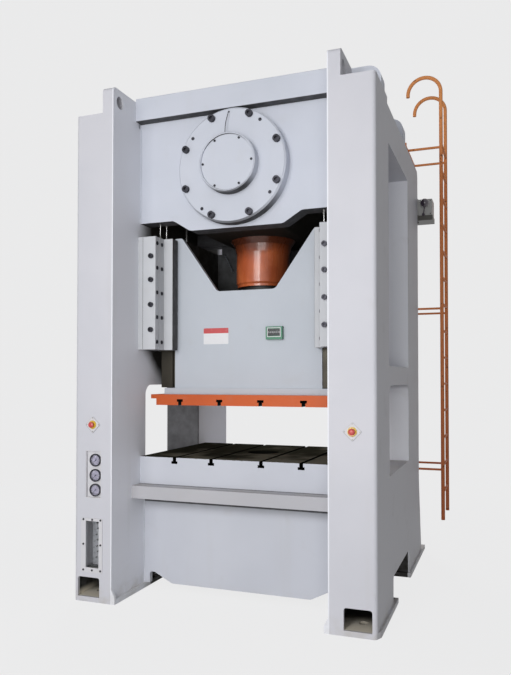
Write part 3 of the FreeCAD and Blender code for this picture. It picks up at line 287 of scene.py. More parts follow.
def buildLamps(settings):
    for name, (place, target, width, height, power) in settings.items():
        data = bpy.data.lights.new(name, "AREA")
        data.shape = "RECTANGLE"
        data.size = width
        data.size_y = height
        data.energy = power
        lamp = bpy.data.objects.new(name, data)
        lamp.location = place
        aim = Vector(target) - Vector(place)
        lamp.rotation_euler = aim.to_track_quat("-Z", "Y").to_euler()
        lamp.visible_camera = False
        scene.collection.objects.link(lamp)


buildWorld(stageSettings)
buildFloor(stageSettings)
buildLamps(lampSettings)
print("stage ready")


columnPaint = {
    "colour": (0.590, 0.588, 0.630),
    "shade": (0.560, 0.562, 0.606),
    "dust": (0.42, 0.39, 0.33),
    "inner": (0.790, 0.800, 0.850),     # painted light: lighter paint on the faces that look into the press
    "outer": (0.500, 0.500, 0.535),     # painted shade: darker paint on the outer sides
    "oil": (0.018, 0.016, 0.013),       # dark colour of the painted shade in places out of reach and under faces that look down, and of oil in the slots
    "settledDust": (0.80, 0.73, 0.60),
    "roughness": 0.44,
    "dustHeight": 0.16,                 # dust and boot marks fade out above this
    "dustAmount": 0.45,
    "grime": 0.0,                       # how much painted shade the faces that look down get
    "peel": 0.12,
    "specular": 0.16,
}


def paintLike(colour, shade, **changes):
    return {**columnPaint, "colour": colour, "shade": shade, "dustHeight": 0, **changes}


crownPaint = paintLike((0.570, 0.592, 0.660), (0.535, 0.560, 0.626), grime=0.87)
slidePaint = paintLike((0.500, 0.530, 0.580), (0.475, 0.506, 0.556), grime=0.3)
bedPaint = paintLike((0.565, 0.580, 0.635), (0.535, 0.550, 0.605), grime=0.5, dustHeight=0.10,
                     dustAmount=0.25)
ledgePaint = paintLike((0.470, 0.465, 0.490), (0.445, 0.442, 0.468), grime=0.9)
gibPaint = paintLike((0.540, 0.550, 0.575), (0.505, 0.515, 0.540), grime=0.5)
guardPaint = paintLike((0.500, 0.510, 0.545), (0.460, 0.470, 0.505))
platePaint = paintLike((0.620, 0.615, 0.640), (0.590, 0.585, 0.610), roughness=0.35)
orangePaint = paintLike((0.570, 0.112, 0.030), (0.510, 0.096, 0.026), grime=0.3, roughness=0.40,
                        specular=0.20)


def paintFinish(name, paint, stain=None, settled=None, paintedLight=None):
    # sprayed enamel; stain says where painted shade and oil darken it, settled where dust lies thick
    finish = Finish(name, paint["colour"])
    finish.cover(finish.noise(1.3).rise(0.35, 0.65), paint["shade"])
    if paintedLight:
        paintedLight(finish, paint)
    streaks = finish.noise(9, 4, (1, 1, 0.08)).rise(0.56, 0.80)
    smudges = finish.noise(6, 5).rise(0.60, 0.78)
    lying = finish.faceZ.rise(0.7, 0.95) * finish.noise(3.5, 4).rise(0.30, 0.70)
    for amount in (streaks * 0.08, smudges * 0.08, lying * 0.35):
        finish.cover(amount, paint["dust"])
    if paint["dustHeight"]:
        marks = finish.z.fall(0.0, paint["dustHeight"]) * finish.noise(14, 5).rise(0.30, 0.75)
        finish.cover(marks * paint["dustAmount"], paint["dust"])
    # painted shade on faces that look down, joined by what stain gives
    dark = (-finish.faceZ).rise(0.35, 0.85) * paint["grime"]
    if stain:
        dark = dark.larger(stain(finish))
    shadeAndOilFilm = dark * (0.92 + finish.noise(17, 4) * 0.22)
    finish.cover(shadeAndOilFilm, paint["oil"])
    if settled:
        finish.cover(settled(finish), paint["settledDust"])
    roughness = paint["roughness"] + smudges * 0.12 + finish.noise(40, 2) * 0.05 + shadeAndOilFilm * 0.30
    return finish.close(roughness, (finish.noise(260, 2), paint["peel"], 0.0006),
                        specular=paint["specular"])


liftingEyeSettings = {"depth": 0.090, "height": 3.612, "radius": 0.045, "grease": 0.25}


def insideFace(finish):
    # the uprights' faces that look into the press
    return abs(finish.x).fall(openingHalf + 0.006, openingHalf + 0.010)


def columnPaintedLight(finish, paint):
    # painted light on the uprights' inner faces and window jambs, painted shade on their outer sides
    outer = abs(finish.x).rise(outerHalf, outerHalf + 0.0015) * abs(finish.faceX).rise(0.5, 0.9)
    jamb = (-finish.faceY).rise(0.5, 0.9) * finish.depth.rise(0.1, 0.2)
    finish.cover(insideFace(finish).larger(jamb), paint["inner"])
    finish.cover(outer, paint["outer"])


def columnPaintedShade(finish):
    # painted shade on the inner faces beside the slide below the gibs and by the crown, on the rear
    # jamb, under the bed and in the foot pockets
    depth, height = finish.depth, finish.z
    drop = height.smaller(gibLow[2]) - gibLow[2]        # the painted shade runs back below the gib
    besideSlide = (depth + drop * 1.1 + finish.noise(7) * 0.06).rise(0.41, 0.62)
    # painted shade on the inner faces seen through the notch by the crown
    byCrown = (height + finish.noise(5) * 0.2).band(2.80, 3.05, 0.09) * depth.fall(1.84, 1.96)
    besideSlide = besideSlide * height.rise(1.36, 1.46) * depth.fall(1.45, 1.70).larger(byCrown)
    rearJamb = depth.band(1.40, 1.45, 0.01) * height.fall(1.54, 1.58) * finish.x.fall(-0.1, 0.1)
    underBed = abs(finish.x).fall(0.802, 0.808) * height.fall(0.085, 0.110)
    underBed = underBed * depth.band(0.52, 0.90, 0.02)
    floor = finish.faceZ.rise(0.5, 0.9)
    wallDark = depth.rise(0.010, 0.040) * (1 - floor) * 0.93
    floorDark = depth.rise(0.050, 0.20 + finish.noise(9) * 0.10) * floor
    stain = (insideFace(finish) * besideSlide).larger(rearJamb * 0.78).larger(underBed * 0.93)
    return stain.larger(insideFoot(finish) * wallDark.larger(floorDark)).larger(inEye(finish))


def inEye(finish):
    # a little painted shade in the lifting eyes' bores
    eye = liftingEyeSettings
    aside, above = finish.depth - eye["depth"], finish.z - eye["height"]
    reach = (aside * aside + above * above).root()
    bore = reach.fall(eye["radius"] + 0.0005, eye["radius"] + 0.0020)
    return bore * abs(finish.faceX).fall(0.3, 0.6) * eye["grease"]


def insideFoot(finish):
    # the hollow of an upright behind its foot pocket
    across = abs(finish.x).band(0.812, 1.088, 0.002) * finish.z.fall(0.205, 0.235)
    return across * finish.depth.rise(0.010, 0.024) * finish.depth.fall(1.98, 2.05)


def footDust(finish):
    # thick dust on the pocket's floor and low on its walls, near the opening
    near = (finish.depth + finish.noise(12, 4) * 0.05).fall(0.090, 0.330)
    return insideFoot(finish) * finish.z.fall(0.036, 0.090) * near * 0.92


def betweenUprights(finish):
    # the crown's ears, out over the uprights, get no painted shade
    return abs(finish.x).fall(openingHalf + 0.001, openingHalf + 0.003)


def forwardShade(finish):
    # painted shade on the inside of a wall whose front looks into the slide's bay
    return (-finish.faceY).rise(0.5, 0.9) * betweenUprights(finish) * 0.88


def rearwardShade(finish):
    # painted shade on the inside of a wall whose rear looks into the slide's bay
    return finish.faceY.rise(0.5, 0.9) * betweenUprights(finish) * 0.96


def inwardShade(finish):
    # painted shade on the slide's side plates where they face in
    return (-(finish.x * finish.faceX)).rise(0.1, 0.3) * 0.96


def baseShade(finish):
    # painted shade on the slide's casting above its flange, which is hidden behind the front plate
    return finish.z.rise(1.53, 1.55)


def ledgePaintedShadow(finish):
    # painted shadow in the corner where the bed's front plate meets the ledge above it
    line = finish.z.rise(0.650, 0.660) * 0.85
    return line.larger(finish.z.rise(0.570, 0.680) * 0.30) * finish.faceZ.fall(0.5, 0.9)


def bolsterLineDarkening(finish):
    # darker along the joint below the bolster, and on the bed's top plate behind it
    behind = finish.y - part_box("bolster_plate")[0][1]
    near = abs(behind).fall(0.010, 0.030) * 0.8
    return near.larger(behind.rise(0.03, 0.05)) * finish.faceZ.rise(0.5, 0.9)


def gibStripShade(finish):
    # painted shade on the inner side of each gib's strip, for the gap between the strip and the slide
    return abs(finish.x).fall(0.598, 0.602) * abs(finish.faceX).rise(0.6, 0.9) * 0.85


def allOverShade(finish):
    # painted shade over nearly all of the oil pan
    return finish.noise(5).rise(-0.6, 0.2)


def slotOilAndShade(finish):
    # oil and painted shadow in the T-slots and along their mouths
    inner, outer = [abs(abs(finish.x) - middle) for middle in slotMiddles]
    near = inner.smaller(outer).fall(0.030, 0.034)
    return near * abs(finish.faceY).fall(0.4, 0.6) * finish.z.fall(1.440, 1.446)


groundSteelSettings = {
    "colour": (0.55, 0.55, 0.53),
    "stain": (0.30, 0.28, 0.24),
    "roughness": 0.30,
    "metallic": 1.0,
}
railSettings = {
    "colour": (0.045, 0.040, 0.030),
    "stain": (0.018, 0.015, 0.011),
    "roughness": 0.34,
    "metallic": 0.70,
}


def groundSteelFinish(name, colour, stain, roughness, metallic):
    # grinding lines run up and down under a film of oil
    finish = Finish(name, colour)
    lines = finish.noise(60, 3, (1, 1, 0.05))
    finish.cover(finish.noise(5, 4).rise(0.42, 0.68) * 0.6, stain)
    finish.cover(lines * 0.25, stain)
    return finish.close(roughness + lines * 0.14, (lines, 0.15, 0.0004), metallic=metallic)


bolsterSettings = {
    "steel": (0.150, 0.141, 0.110),
    "oil": (0.017, 0.017, 0.011),
    # near black: painted shade in the T-slots and on the drop hole's wall
    "slot": (0.006, 0.006, 0.005),
    "rust": (0.070, 0.045, 0.026),
    "roughness": 0.60,
    "slotFloor": 0.955,
    "paint": bedPaint,
}


def bolsterFinish(name, steel, oil, slot, rust, roughness, slotFloor, paint):
    # painted edges, bare oiled top with milling passes; less oil at the front and right is a painted
    # sheen, and the slots and drop hole get near-black painted shade
    finish = Finish(name, paint["colour"])
    finish.cover(finish.noise(1.3).rise(0.35, 0.65), paint["shade"])
    worn = finish.z.rise(1.000, 1.004) * finish.noise(30, 5).rise(0.52, 0.62)
    finish.cover(worn * 0.5, steel)
    passes = finish.noise(34, 2, (1, 0.03, 1))
    # the oil thins towards the front and right: a painted sheen
    drierAndSheen = finish.x * 0.14 - (finish.y - slideMiddle) * 0.22
    oilAndShade = (finish.noise(2.2, 4) - drierAndSheen).rise(0.36, 0.56)
    metal = finish.mix(passes * 0.22, finish.mix(oilAndShade, steel, oil), steel)
    metal = finish.mix(finish.noise(11, 5).rise(0.62, 0.75) * 0.5, metal, rust)
    top = finish.faceZ.rise(0.6, 0.9)
    inner = finish.z.band(slotFloor - 0.005, 1.0048, 0.0002) * abs(finish.faceY).fall(0.6, 0.8)
    low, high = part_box("bolster_plate")
    ahead = finish.y.rise(low[1] + 0.0005, low[1] + 0.0010)
    inside = ahead.smaller(finish.y.fall(high[1] - 0.0010, high[1] - 0.0005))   # slot walls, drop hole
    metal = finish.mix(inner.larger(inside * (1 - top)), metal, slot)
    finish.cover(top.larger(inner).larger(inside), metal)
    return finish.close(roughness - oilAndShade * 0.10 + passes * 0.10, (passes, 0.12, 0.0005), specular=0.0)


def plainMetalFinish(name, colour, roughness, grain=90, metallic=1.0, bump=0.2):
    finish = Finish(name, colour)
    speckle = finish.noise(grain, 4)
    finish.cover(speckle.rise(0.35, 0.75), (colour[0] * 0.6, colour[1] * 0.6, colour[2] * 0.58))
    return finish.close(roughness + speckle * 0.15, (speckle, bump, 0.0006), metallic=metallic)


def plasticFinish(name, colour, roughness, coat=0.0):
    finish = Finish(name, colour)
    fine = finish.noise(400, 2)
    finish.cover(finish.noise(60).rise(0.4, 0.8) * 0.5, [part * 0.8 + 0.02 for part in colour])
    return finish.close(roughness + fine * 0.08, (fine, 0.08, 0.0003), coat=coat)


def glassFinish(name, tint):
    finish = Finish(name, tint)
    haze = finish.noise(40, 4).rise(0.5, 0.8)
    return finish.close(haze * 0.10, transmission=1.0, ior=1.35, alpha=0.30)


gaugeSettings = {
    "face": (0.33, 0.31, 0.41),         # violet-grey dial behind its glass
    "case": (0.060, 0.058, 0.072),
    "dialDepth": 0.014,
    "middleX": -0.929,
    "heights": (1.013, 0.904, 0.799),
    "glass": 0.038,
    "rim": 0.0455,
    "rimDepth": 0.008,
    "ticks": 31,
    "numeral": 0.0075,
}


def gaugeFinish(name, settings):
    # dial face and dark case on one casting
    finish = Finish(name, settings["face"])
    finish.cover(finish.noise(50).rise(0.3, 0.7) * 0.15, settings["case"])
    first, second, third = [abs(finish.z - z) for z in settings["heights"]]
    above = first.smaller(second).smaller(third)
    aside = finish.x - settings["middleX"]
    reach = (aside * aside + above * above).root()
    rimShade = reach.rise(settings["glass"] * 0.62, settings["glass"])
    finish.cover(rimShade * 0.55, settings["case"])
    dial = abs(finish.y - back(settings["dialDepth"])).fall(0.0006, 0.0010)
    finish.cover(1 - dial, settings["case"])
    grain = (finish.noise(300, 2), 0.05, 0.0003)
    return finish.close(0.38 + dial * 0.10, grain, metallic=0.3 - dial * 0.3)


ladderPaint = {
    "topColour": (0.78, 0.320, 0.118),      # lighter, at the hooks
    "colour": (0.64, 0.215, 0.077),
    "low": (0.45, 0.128, 0.050),
    "rust": (0.13, 0.06, 0.03),
}


def ladderFinish(name, topColour, colour, low, rust):
    # paint that gets lighter towards the top and darker and redder towards the floor
    finish = Finish(name, low)
    height = finish.z + finish.noise(5, 4) * 0.5
    finish.cover(height.rise(0.6, 2.6), colour)
    finish.cover(height.rise(3.5, 4.5), topColour)
    chips = finish.noise(26, 6).rise(0.62, 0.68)
    finish.cover(chips * 0.7, rust)
    return finish.close(0.55 + chips * 0.25, (finish.noise(160, 2), 0.15, 0.0006), specular=0.10)


blankPlateSettings = {
    "left": -0.348, "right": -0.141, "bottom": 1.864, "top": 1.987,
    "thickness": 0.0012,
    "corner": 0.006,
    "bandHeight": 0.040,
    "band": (0.50, 0.055, 0.060),
    "field": (0.70, 0.70, 0.72),
    "worn": (0.55, 0.53, 0.52),
}


def blankPlateFinish(name, settings):
    # a red field over a bare white one
    finish = Finish(name, settings["field"])
    edge = settings["top"] - settings["bandHeight"]
    finish.cover(finish.z.rise(edge - 0.0005, edge + 0.0005), settings["band"])
    worn = finish.noise(45, 5).rise(0.55, 0.80) * 0.25
    finish.cover(worn, settings["worn"])
    return finish.close(0.30 + worn * 0.4, (finish.noise(120), 0.05, 0.0003))


sleeveSettings = {
    "colour": (0.590, 0.145, 0.048),
    "shade": (0.450, 0.100, 0.034),
    # the colour of the painted shadow and shade
    "oil": (0.070, 0.017, 0.007),
    "bottomShade": (0.012, 0.009, 0.008),
    "shadeHeights": (2.55, 2.71),         # painted shadow from above covers it between these
    "brush": 0.55,
}


def sleeveFinish(name, colour, shade, oil, bottomShade, shadeHeights, brush):
    # thick brushed enamel, with painted shadow towards the top, painted shade on one side and underneath
    finish = Finish(name, colour)
    runs = finish.noise(16, 4, (1, 1, 0.12))
    finish.cover(finish.noise(6, 4).rise(0.35, 0.65), shade)
    shadedSide = (finish.x + runs * 0.08).rise(0.02, 0.25)     # painted shade on one side
    oilAndShade = (finish.z + runs * 0.10).rise(*shadeHeights)
    finish.cover((oilAndShade * 0.85).larger(shadedSide * 0.70), oil)
    # painted shade on faces that look down
    finish.cover((-finish.faceZ).rise(0.4, 0.8) * 0.95, bottomShade)
    return finish.close(0.22 + runs * 0.12, (finish.noise(30, 5, (1, 1, 0.25)), brush, 0.004), coat=0.35,
                        coatRoughness=0.12, specular=0.35)


valvePaint = {
    "case": (0.42, 0.42, 0.41),
    "worn": (0.33, 0.33, 0.32),
    "tray": (0.050, 0.048, 0.040),
    "caseBottom": 3.085,
}


def valveFinish(name, case, worn, tray, caseBottom):
    # grey case over a dark tray
    finish = Finish(name, case)
    finish.cover(finish.noise(7, 4).rise(0.35, 0.70), worn)
    finish.cover(finish.z.fall(caseBottom - 0.001, caseBottom + 0.001), tray)
    return finish.close(0.42, (finish.noise(200, 2), 0.10, 0.0005))


estopSettings = {
    "middleX": 0.945,
    "height": 1.268,
    "reach": 0.0595,                    # from the middle to a corner of the plate
    "border": 0.004,
    # the colour of the painted shade along the plate's edges
    "edge": (0.30, 0.30, 0.32),
    "screwReach": 0.049,
    "screwRadius": 0.0042,
    "screwHeight": 0.0022,
}


def estopPlateFinish(name, settings, paint):
    # painted plate, with painted shade along its four edges, deeper along the lower ones
    finish = Finish(name, paint["colour"])
    finish.cover(finish.noise(6).rise(0.35, 0.65), paint["shade"])
    above = finish.z - settings["height"]
    corner = abs(abs(finish.x) - settings["middleX"]) + abs(above)
    rim = corner.rise(settings["reach"] - settings["border"], settings["reach"])
    finish.cover(rim * (0.35 + above.fall(-0.01, 0.02) * 0.45), settings["edge"])
    return finish.close(paint["roughness"], (finish.noise(260, 2), paint["peel"], 0.0006),
                        specular=paint["specular"])


# a finish dresses the node that it is named for, or every other node with its material slot
paints = {
    "frame_paint": (columnPaint, columnPaintedShade, footDust, columnPaintedLight),
    "crown": (crownPaint,),
    "crown_front_wall": (crownPaint, rearwardShade),
    "crown_rear_wall": (crownPaint, forwardShade),
    "oil_pan": (crownPaint, allOverShade),
    "slide_paint": (slidePaint, rearwardShade),
    "slide_rear_plate": (slidePaint, forwardShade),
    "slide_side_plates": (slidePaint, inwardShade),
    "slide_base": (slidePaint, baseShade),
    "bed_rear_plate": (bedPaint,),
    "bed_front_plate": (bedPaint, ledgePaintedShadow),
    "bed_top_plate": (ledgePaint, bolsterLineDarkening),
    "gib_blocks": (gibPaint, gibStripShade),
    "guard_paint": (guardPaint,),
    "plate": (platePaint,),
    "orange_paint": (orangePaint, slotOilAndShade),
    "flywheel_guard": (orangePaint,),
}
metals = {
    # colour, roughness, grain, metallic, bump
    "bolt_steel": ((0.038, 0.038, 0.048), 0.36, 120, 0.75),
    "zinc": ((0.34, 0.34, 0.33), 0.36, 160, 0.9, 0.1),
    "bronze": ((0.45, 0.27, 0.10), 0.35),
    "iron": ((0.12, 0.12, 0.125), 0.50, 70, 0.7, 0.5),
    "bright_metal": ((0.62, 0.62, 0.62), 0.18, 200, 1.0, 0.05),
    "aluminium": ((0.60, 0.60, 0.60), 0.36, 150, 0.75),
}
plastics = {
    # colour, roughness, coat
    "belt_rubber": ((0.018, 0.018, 0.018), 0.75),
    "dial_white": ((0.66, 0.66, 0.67), 0.45),
    "yellow_plastic": ((0.66, 0.42, 0.03), 0.30, 0.3),
    "red_plastic": ((0.52, 0.045, 0.040), 0.28, 0.4),
    "black_plastic": ((0.020, 0.020, 0.024), 0.40),
    "valve_lever": ((0.030, 0.018, 0.034), 0.16, 0.6),
    "green_plastic": ((0.045, 0.190, 0.110), 0.40),
    "plunger": ((0.016, 0.014, 0.013), 0.55),
}
finishes = {
    "estop_plates": estopPlateFinish("estop_plates", estopSettings, platePaint),
    "plunger_sleeve": sleeveFinish("plunger_sleeve", **sleeveSettings),
    "ladder_paint": ladderFinish("ladder_paint", **ladderPaint),
    "ground_steel": groundSteelFinish("ground_steel", **groundSteelSettings),
    "slide_rails": groundSteelFinish("slide_rails", **railSettings),
    "oiled_steel": bolsterFinish("oiled_steel", **bolsterSettings),
    "clear_pane": glassFinish("clear_pane", (0.95, 0.97, 0.97)),
    "pressure_gauges": gaugeFinish("pressure_gauges", gaugeSettings),
    "blank_plate": blankPlateFinish("blank_plate", blankPlateSettings),
    "valve_box": valveFinish("valve_box", **valvePaint),
}
for maker, rows in ((paintFinish, paints), (plainMetalFinish, metals), (plasticFinish, plastics)):
    finishes.update({name: maker(name, *row) for name, row in rows.items()})
print("finishes ready:", len(finishes))

sharedFinishes = {
    "crown": ("crown_top_plate", "header_cover", "crank_bearing_cap", "hub_cover"),
    "plate": ("gauge_panel", "inspection_frame"),
}
finishes.update({node: finishes[name] for name, nodes in sharedFinishes.items() for node in nodes})


def dressNodes():
    slots = {entry["node"]: entry["material_slot"] for entry in frame["record"]["subparts"]}
    for name, node in frame["nodes"].items():
        chosen = finishes.get(name) or finishes[slots[name]]
        for piece in node if isinstance(node, (list, tuple)) else [node]:
            piece.data.materials.clear()
            piece.data.materials.append(chosen.material)


dressNodes()
print("nodes dressed")


class Shape:
    # gathers solid parts in one mesh, which becomes one piece that rides a body
    def __init__(self):
        self.mesh = bmesh.new()

    def ring(self, middle, sides, radius, axes, hexagon=False):
        if radius == 0:
            return [self.mesh.verts.new(middle)]
        points = []
        for i in range(sides):
            angle = math.tau * i / sides
            aside = axes[0] * math.cos(angle) + axes[1] * math.sin(angle)
            if hexagon:
                aside *= math.cos(math.pi / 6) / math.cos(angle % (math.pi / 3) - math.pi / 6)
            points.append(self.mesh.verts.new(middle + aside * radius))
        return points

    def join(self, first, second):
        # faces between two rings, either of which may be a single point
        sides = max(len(first), len(second))
        first, second = [ring * sides if len(ring) == 1 else ring for ring in (first, second)]
        for i in range(sides):
            k = (i + 1) % sides
            corners = (first[i], first[k], second[k], second[i])
            self.mesh.faces.new(list(dict.fromkeys(corners)))

    def skin(self, rings):
        for first, second in zip(rings, rings[1:]):
            self.join(first, second)

    def turned(self, middle, axis, profile, sides=24):
        # turns (radius, distance along, is it hexagonal) round an axis; a run that
        # doesn't start and end on the axis is closed on itself
        along = Vector(axis).normalized()
        axes = squareTo(along)
        rings = [self.ring(Vector(middle) + along * distance, sides, radius, axes, *hexagon)
                 for radius, distance, *hexagon in profile]
        self.skin(rings)
        if profile[0][0] and profile[-1][0]:
            self.join(rings[-1], rings[0])

    def block(self, low, high, edge):
        size = Vector(high) - Vector(low)
        made = bmesh.ops.create_cube(self.mesh, size=1)["verts"]
        bmesh.ops.scale(self.mesh, vec=size, verts=made)
        bmesh.ops.translate(self.mesh, vec=(Vector(high) + Vector(low)) / 2, verts=made)
        edges = list({line for point in made for line in point.link_edges})
        bmesh.ops.bevel(self.mesh, geom=edges, offset=edge, segments=2, profile=0.7, affect="EDGES")

    def slab(self, outline, near, far):
        # a flat outline in X and Z, given a thickness along Y
        front, rear = [[self.mesh.verts.new((x, y, z)) for x, z in outline] for y in (near, far)]
        self.mesh.faces.new(front)
        self.mesh.faces.new(rear[::-1])
        self.join(front, rear)

    def tube(self, points, radii, sides=10):
        rings = []
        side = squareTo((points[1] - points[0]).normalized())[0]
        for i, (point, radius) in enumerate(zip(points, radii)):
            along = (points[min(i + 1, len(points) - 1)] - points[max(i - 1, 0)]).normalized()
            side = (side - along * side.dot(along)).normalized()
            rings.append(self.ring(point, sides, radius, (side, along.cross(side))))
        self.skin(rings)
        self.mesh.faces.new(rings[0][::-1])
        self.mesh.faces.new(rings[-1])

    def piece(self, name, body, slot, finish=None, sharp=35):
        bmesh.ops.recalc_face_normals(self.mesh, faces=self.mesh.faces)
        data = bpy.data.meshes.new(name)
        self.mesh.to_mesh(data)
        self.mesh.free()
        data.shade_smooth()
        data.set_sharp_from_angle(angle=math.radians(sharp))
        data.materials.append(finishes[finish or slot].material)
        made = bpy.data.objects.new(name, data)
        scene.collection.objects.link(made)
        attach(made, body)


def squareTo(along):
    # two directions at right angles to an axis
    guide = Vector((0, 0, 1)) if abs(along[2]) < 0.9 else Vector((0, 1, 0))
    first = along.cross(guide).normalized()
    return first, first.cross(along)


def arc(middle, radius, start, end, steps):
    # points round part of a circle, in degrees
    angles = [math.radians(start + (end - start) * i / steps) for i in range(steps + 1)]
    return [(middle[0] + radius * math.cos(a), middle[1] + radius * math.sin(a)) for a in angles]


def around(middle, radius, degrees):
    # a place on a circle in the plane of X and Z
    x, z = arc((middle[0], middle[2]), radius, degrees, degrees, 1)[0]
    return (x, middle[1], z)


def turns(count, start=0):
    # angles spaced evenly round a circle
    return [start + 360 * i / count for i in range(count)]


def spokeOutline(middle, degrees, inner, outer, half):
    # the outline of a narrow bar that points away from a middle
    angle = math.radians(degrees)
    along = Vector((math.cos(angle), math.sin(angle)))
    across = Vector((-math.sin(angle), math.cos(angle))) * half
    corners = ((inner, 1), (inner, -1), (outer, -1), (outer, 1))
    return [Vector(middle) + along * reach + across * turn for reach, turn in corners]


def roundedOutline(left, right, bottom, top, corner):
    outline = []
    for x, z, start in ((right, top, 0), (left, top, 90), (left, bottom, 180), (right, bottom, 270)):
        inX = x - corner if x == right else x + corner
        inZ = z - corner if z == top else z + corner
        outline += arc((inX, inZ), corner, start, start + 90, 5)
    return outline


def socketScrew(shape, middle, axis, radius, height, sides=20):
    shape.turned(middle, axis, [
        (0, -sunk), (radius, -sunk), (radius, height * 0.75), (radius * 0.88, height),
        (radius * 0.55, height, True), (radius * 0.55, height * 0.4, True), (0, height * 0.4)], sides)


def hexBolt(shape, middle, axis, size):
    # head with its chamfer, on a plain washer
    washer = [(0, -sunk), (size * 1.25, -sunk), (size * 1.25, size * 0.18), (0, size * 0.18)]
    head = [(0, size * 0.17), (size * 1.15, size * 0.17, True), (size * 1.15, size * 0.79, True),
            (size * 0.95, size * 0.92), (0, size * 0.92)]
    shape.turned(middle, axis, washer)
    shape.turned(middle, axis, head)


def nutNeck(shape, middle, axis, nut, height, shoulder, neck, end, tip=0.0):
    # a hexagonal nut with a plain neck, as a gland or a union has
    shape.turned(middle, axis, [(0, -sunk), (nut, -sunk, True), (nut, height, True),
                                (shoulder, height + 0.001), (neck, end), (0, end + tip)])


def fastenerRing(shape, maker, middle, axis, circle, angles, *sizes):
    # the same fastener at several angles round a circle
    for degrees in angles:
        maker(shape, around(middle, circle, degrees), axis, *sizes)


gibScrewSettings = {
    "top": 2.630,
    "pitch": 0.188,
    "count": 5,
    "depths": (0.385, 0.460),
    "face": 0.640,                      # the gib's side that looks at the slide
    "radius": 0.015,
    "height": 0.006,
}


def gibScrews(top, pitch, count, depths, face, radius, height):
    # small screws in the sides of the four gibs
    shape = Shape()
    for side in (-1, 1):
        for front in map(back, depths):
            for y in (front, 2 * slideMiddle - front):
                for i in range(count):
                    socketScrew(shape, (side * face, y, top - pitch * i), (-side, 0, 0), radius, height)
    shape.piece("gib_screws", "frame", "bolt_steel")


gibSeamSettings = {
    "near": 0.7468,
    "far": 0.7492,
    "proud": 0.0006,
    "short": 0.004,                     # stops this far from the gib's ends
    "edge": 0.0003,
}


def gibSeams(near, far, proud, short, edge):
    # a thin black strip standing in for the shaded groove between each gib and its keeper: painted shade
    shape = Shape()
    for side in (-1, 1):
        x0, x1 = sorted((side * near, side * far))
        for face, turn in ((gibLow[1], -1), (gibHigh[1], 1)):
            y0, y1 = sorted((face + turn * proud, face - turn * sunk))
            shape.block((x0, y0, gibLow[2] + short), (x1, y1, gibHigh[2] - short), edge)
    shape.piece("gib_seams", "frame", "black_plastic")


lubeSettings = {
    "places": ((0.649, 0.455), (0.630, 0.520)),         # X and depth
    "bottom": 2.680,
    "bore": 0.0033,
    "nut": 0.008,
}


def lubeFittings(places, bottom, bore, nut):
    # union nuts where the grease lines enter the gibs and leave the crown
    shape = Shape()
    profile = [(bore, -sunk), (nut, -sunk, True), (nut, 0.009, True), (nut * 0.7, 0.010),
               (nut * 0.62, 0.017), (bore, 0.019)]
    for side in (-1, 1):
        for x, depth in places:
            for z, axis in ((bottom, upward), (crownBottom, downward)):
                shape.turned((side * x, back(depth), z), axis, profile)
    shape.piece("lube_fittings", "frame", "bright_metal", "zinc")


capSettings = {
    # circle, angles, radius and height of each kind
    "plugs": (0.374, (143, 53, -37, -127), 0.0125, 0.0035),
    "screws": (0.186, turns(6), 0.009, 0.005),
}


def capFasteners(plugs, screws):
    # plugs in the bearing cap and screws in the hub's cover
    shape = Shape()
    fastenerRing(shape, socketScrew, (0, capFace, crankHeight), forward, *plugs)
    fastenerRing(shape, socketScrew, (0, hubFace, crankHeight), forward, *screws)
    shape.piece("cap_fasteners", "frame", "bolt_steel")


greasePipeSettings = {
    "radius": 0.0024,
    "top": (-0.012, 0.300, 3.520),      # X, depth from the uprights' front, height
    "bend": 0.022,
    "foot": (-0.028, 0.262, 3.349),
    "straight": 0.020,                  # its plain end above the foot
    "bow": 0.006,                       # how far it leans out between its ends
    "nut": 0.0065,
}


def greasePipe(radius, top, bend, foot, straight, bow, nut):
    # bent pipe from the cap's face into the top of the hub, with a nut at each end
    shape = Shape()
    curve = arc((top[1], top[2] - bend), bend, 90, 180, 6)
    points = [Vector((top[0], back(depth), z)) for depth, z in curve]
    start = points[-1]
    foot = Vector((foot[0], back(foot[1]), foot[2]))
    end = foot + Vector((0, 0, straight))
    for i in range(1, 9):
        points.append(start.lerp(end, i / 8) - Vector((math.sin(math.pi * i / 8) * bow, 0, 0)))
    points.append(foot)
    shape.tube(points, [radius] * len(points))
    profile = [(0, -0.003), (nut, -0.003, True), (nut, 0.005, True), (nut * 0.6, 0.008), (0, 0.008)]
    shape.turned(points[0], forward, profile)
    shape.turned(foot, upward, profile)
    shape.piece("grease_pipe", "frame", "bolt_steel")


def blankPlate(settings):
    # thin two-colour plate on the slide's front
    shape = Shape()
    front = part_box("slide_front_plate")[0][1]
    outline = roundedOutline(*[settings[key] for key in ("left", "right", "bottom", "top", "corner")])
    shape.slab(outline, front - settings["thickness"], front + 0.0004)
    shape.piece("blank_plate", "slide", "dial_white", "blank_plate")


counterSettings = {
    "rim": 0.005,
    "proud": 0.0015,
    "drums": 6,
    "inset": (0.016, 0.016, 0.022, 0.013),      # window's margins: left, right, bottom, top
    "recess": 0.004,
    "gap": 0.0006,                      # half the gap between two drums
    "drumProud": 0.0022,
    "drumShort": 0.004,
    "edges": (0.0005, 0.0008),          # rounding of the rim and of the drums
    "numeral": 0.018,
}


def addText(shape, text, size, place, thick=0.0003):
    # upright lettering that looks forward
    curve = bpy.data.curves.new("numeral", "FONT")
    curve.body = text
    curve.size = size
    curve.extrude = thick
    curve.align_x = "CENTER"
    curve.align_y = "CENTER"
    holder = bpy.data.objects.new("numeral", curve)
    data = bpy.data.meshes.new_from_object(holder)
    known = len(shape.mesh.verts)
    shape.mesh.from_mesh(data)
    shape.mesh.verts.ensure_lookup_table()
    for point in shape.mesh.verts[known:]:
        x, y, z = point.co
        point.co = Vector((place[0] + x, place[1] - z, place[2] + y))
    bpy.data.objects.remove(holder)
    bpy.data.curves.remove(curve)
    bpy.data.meshes.remove(data)


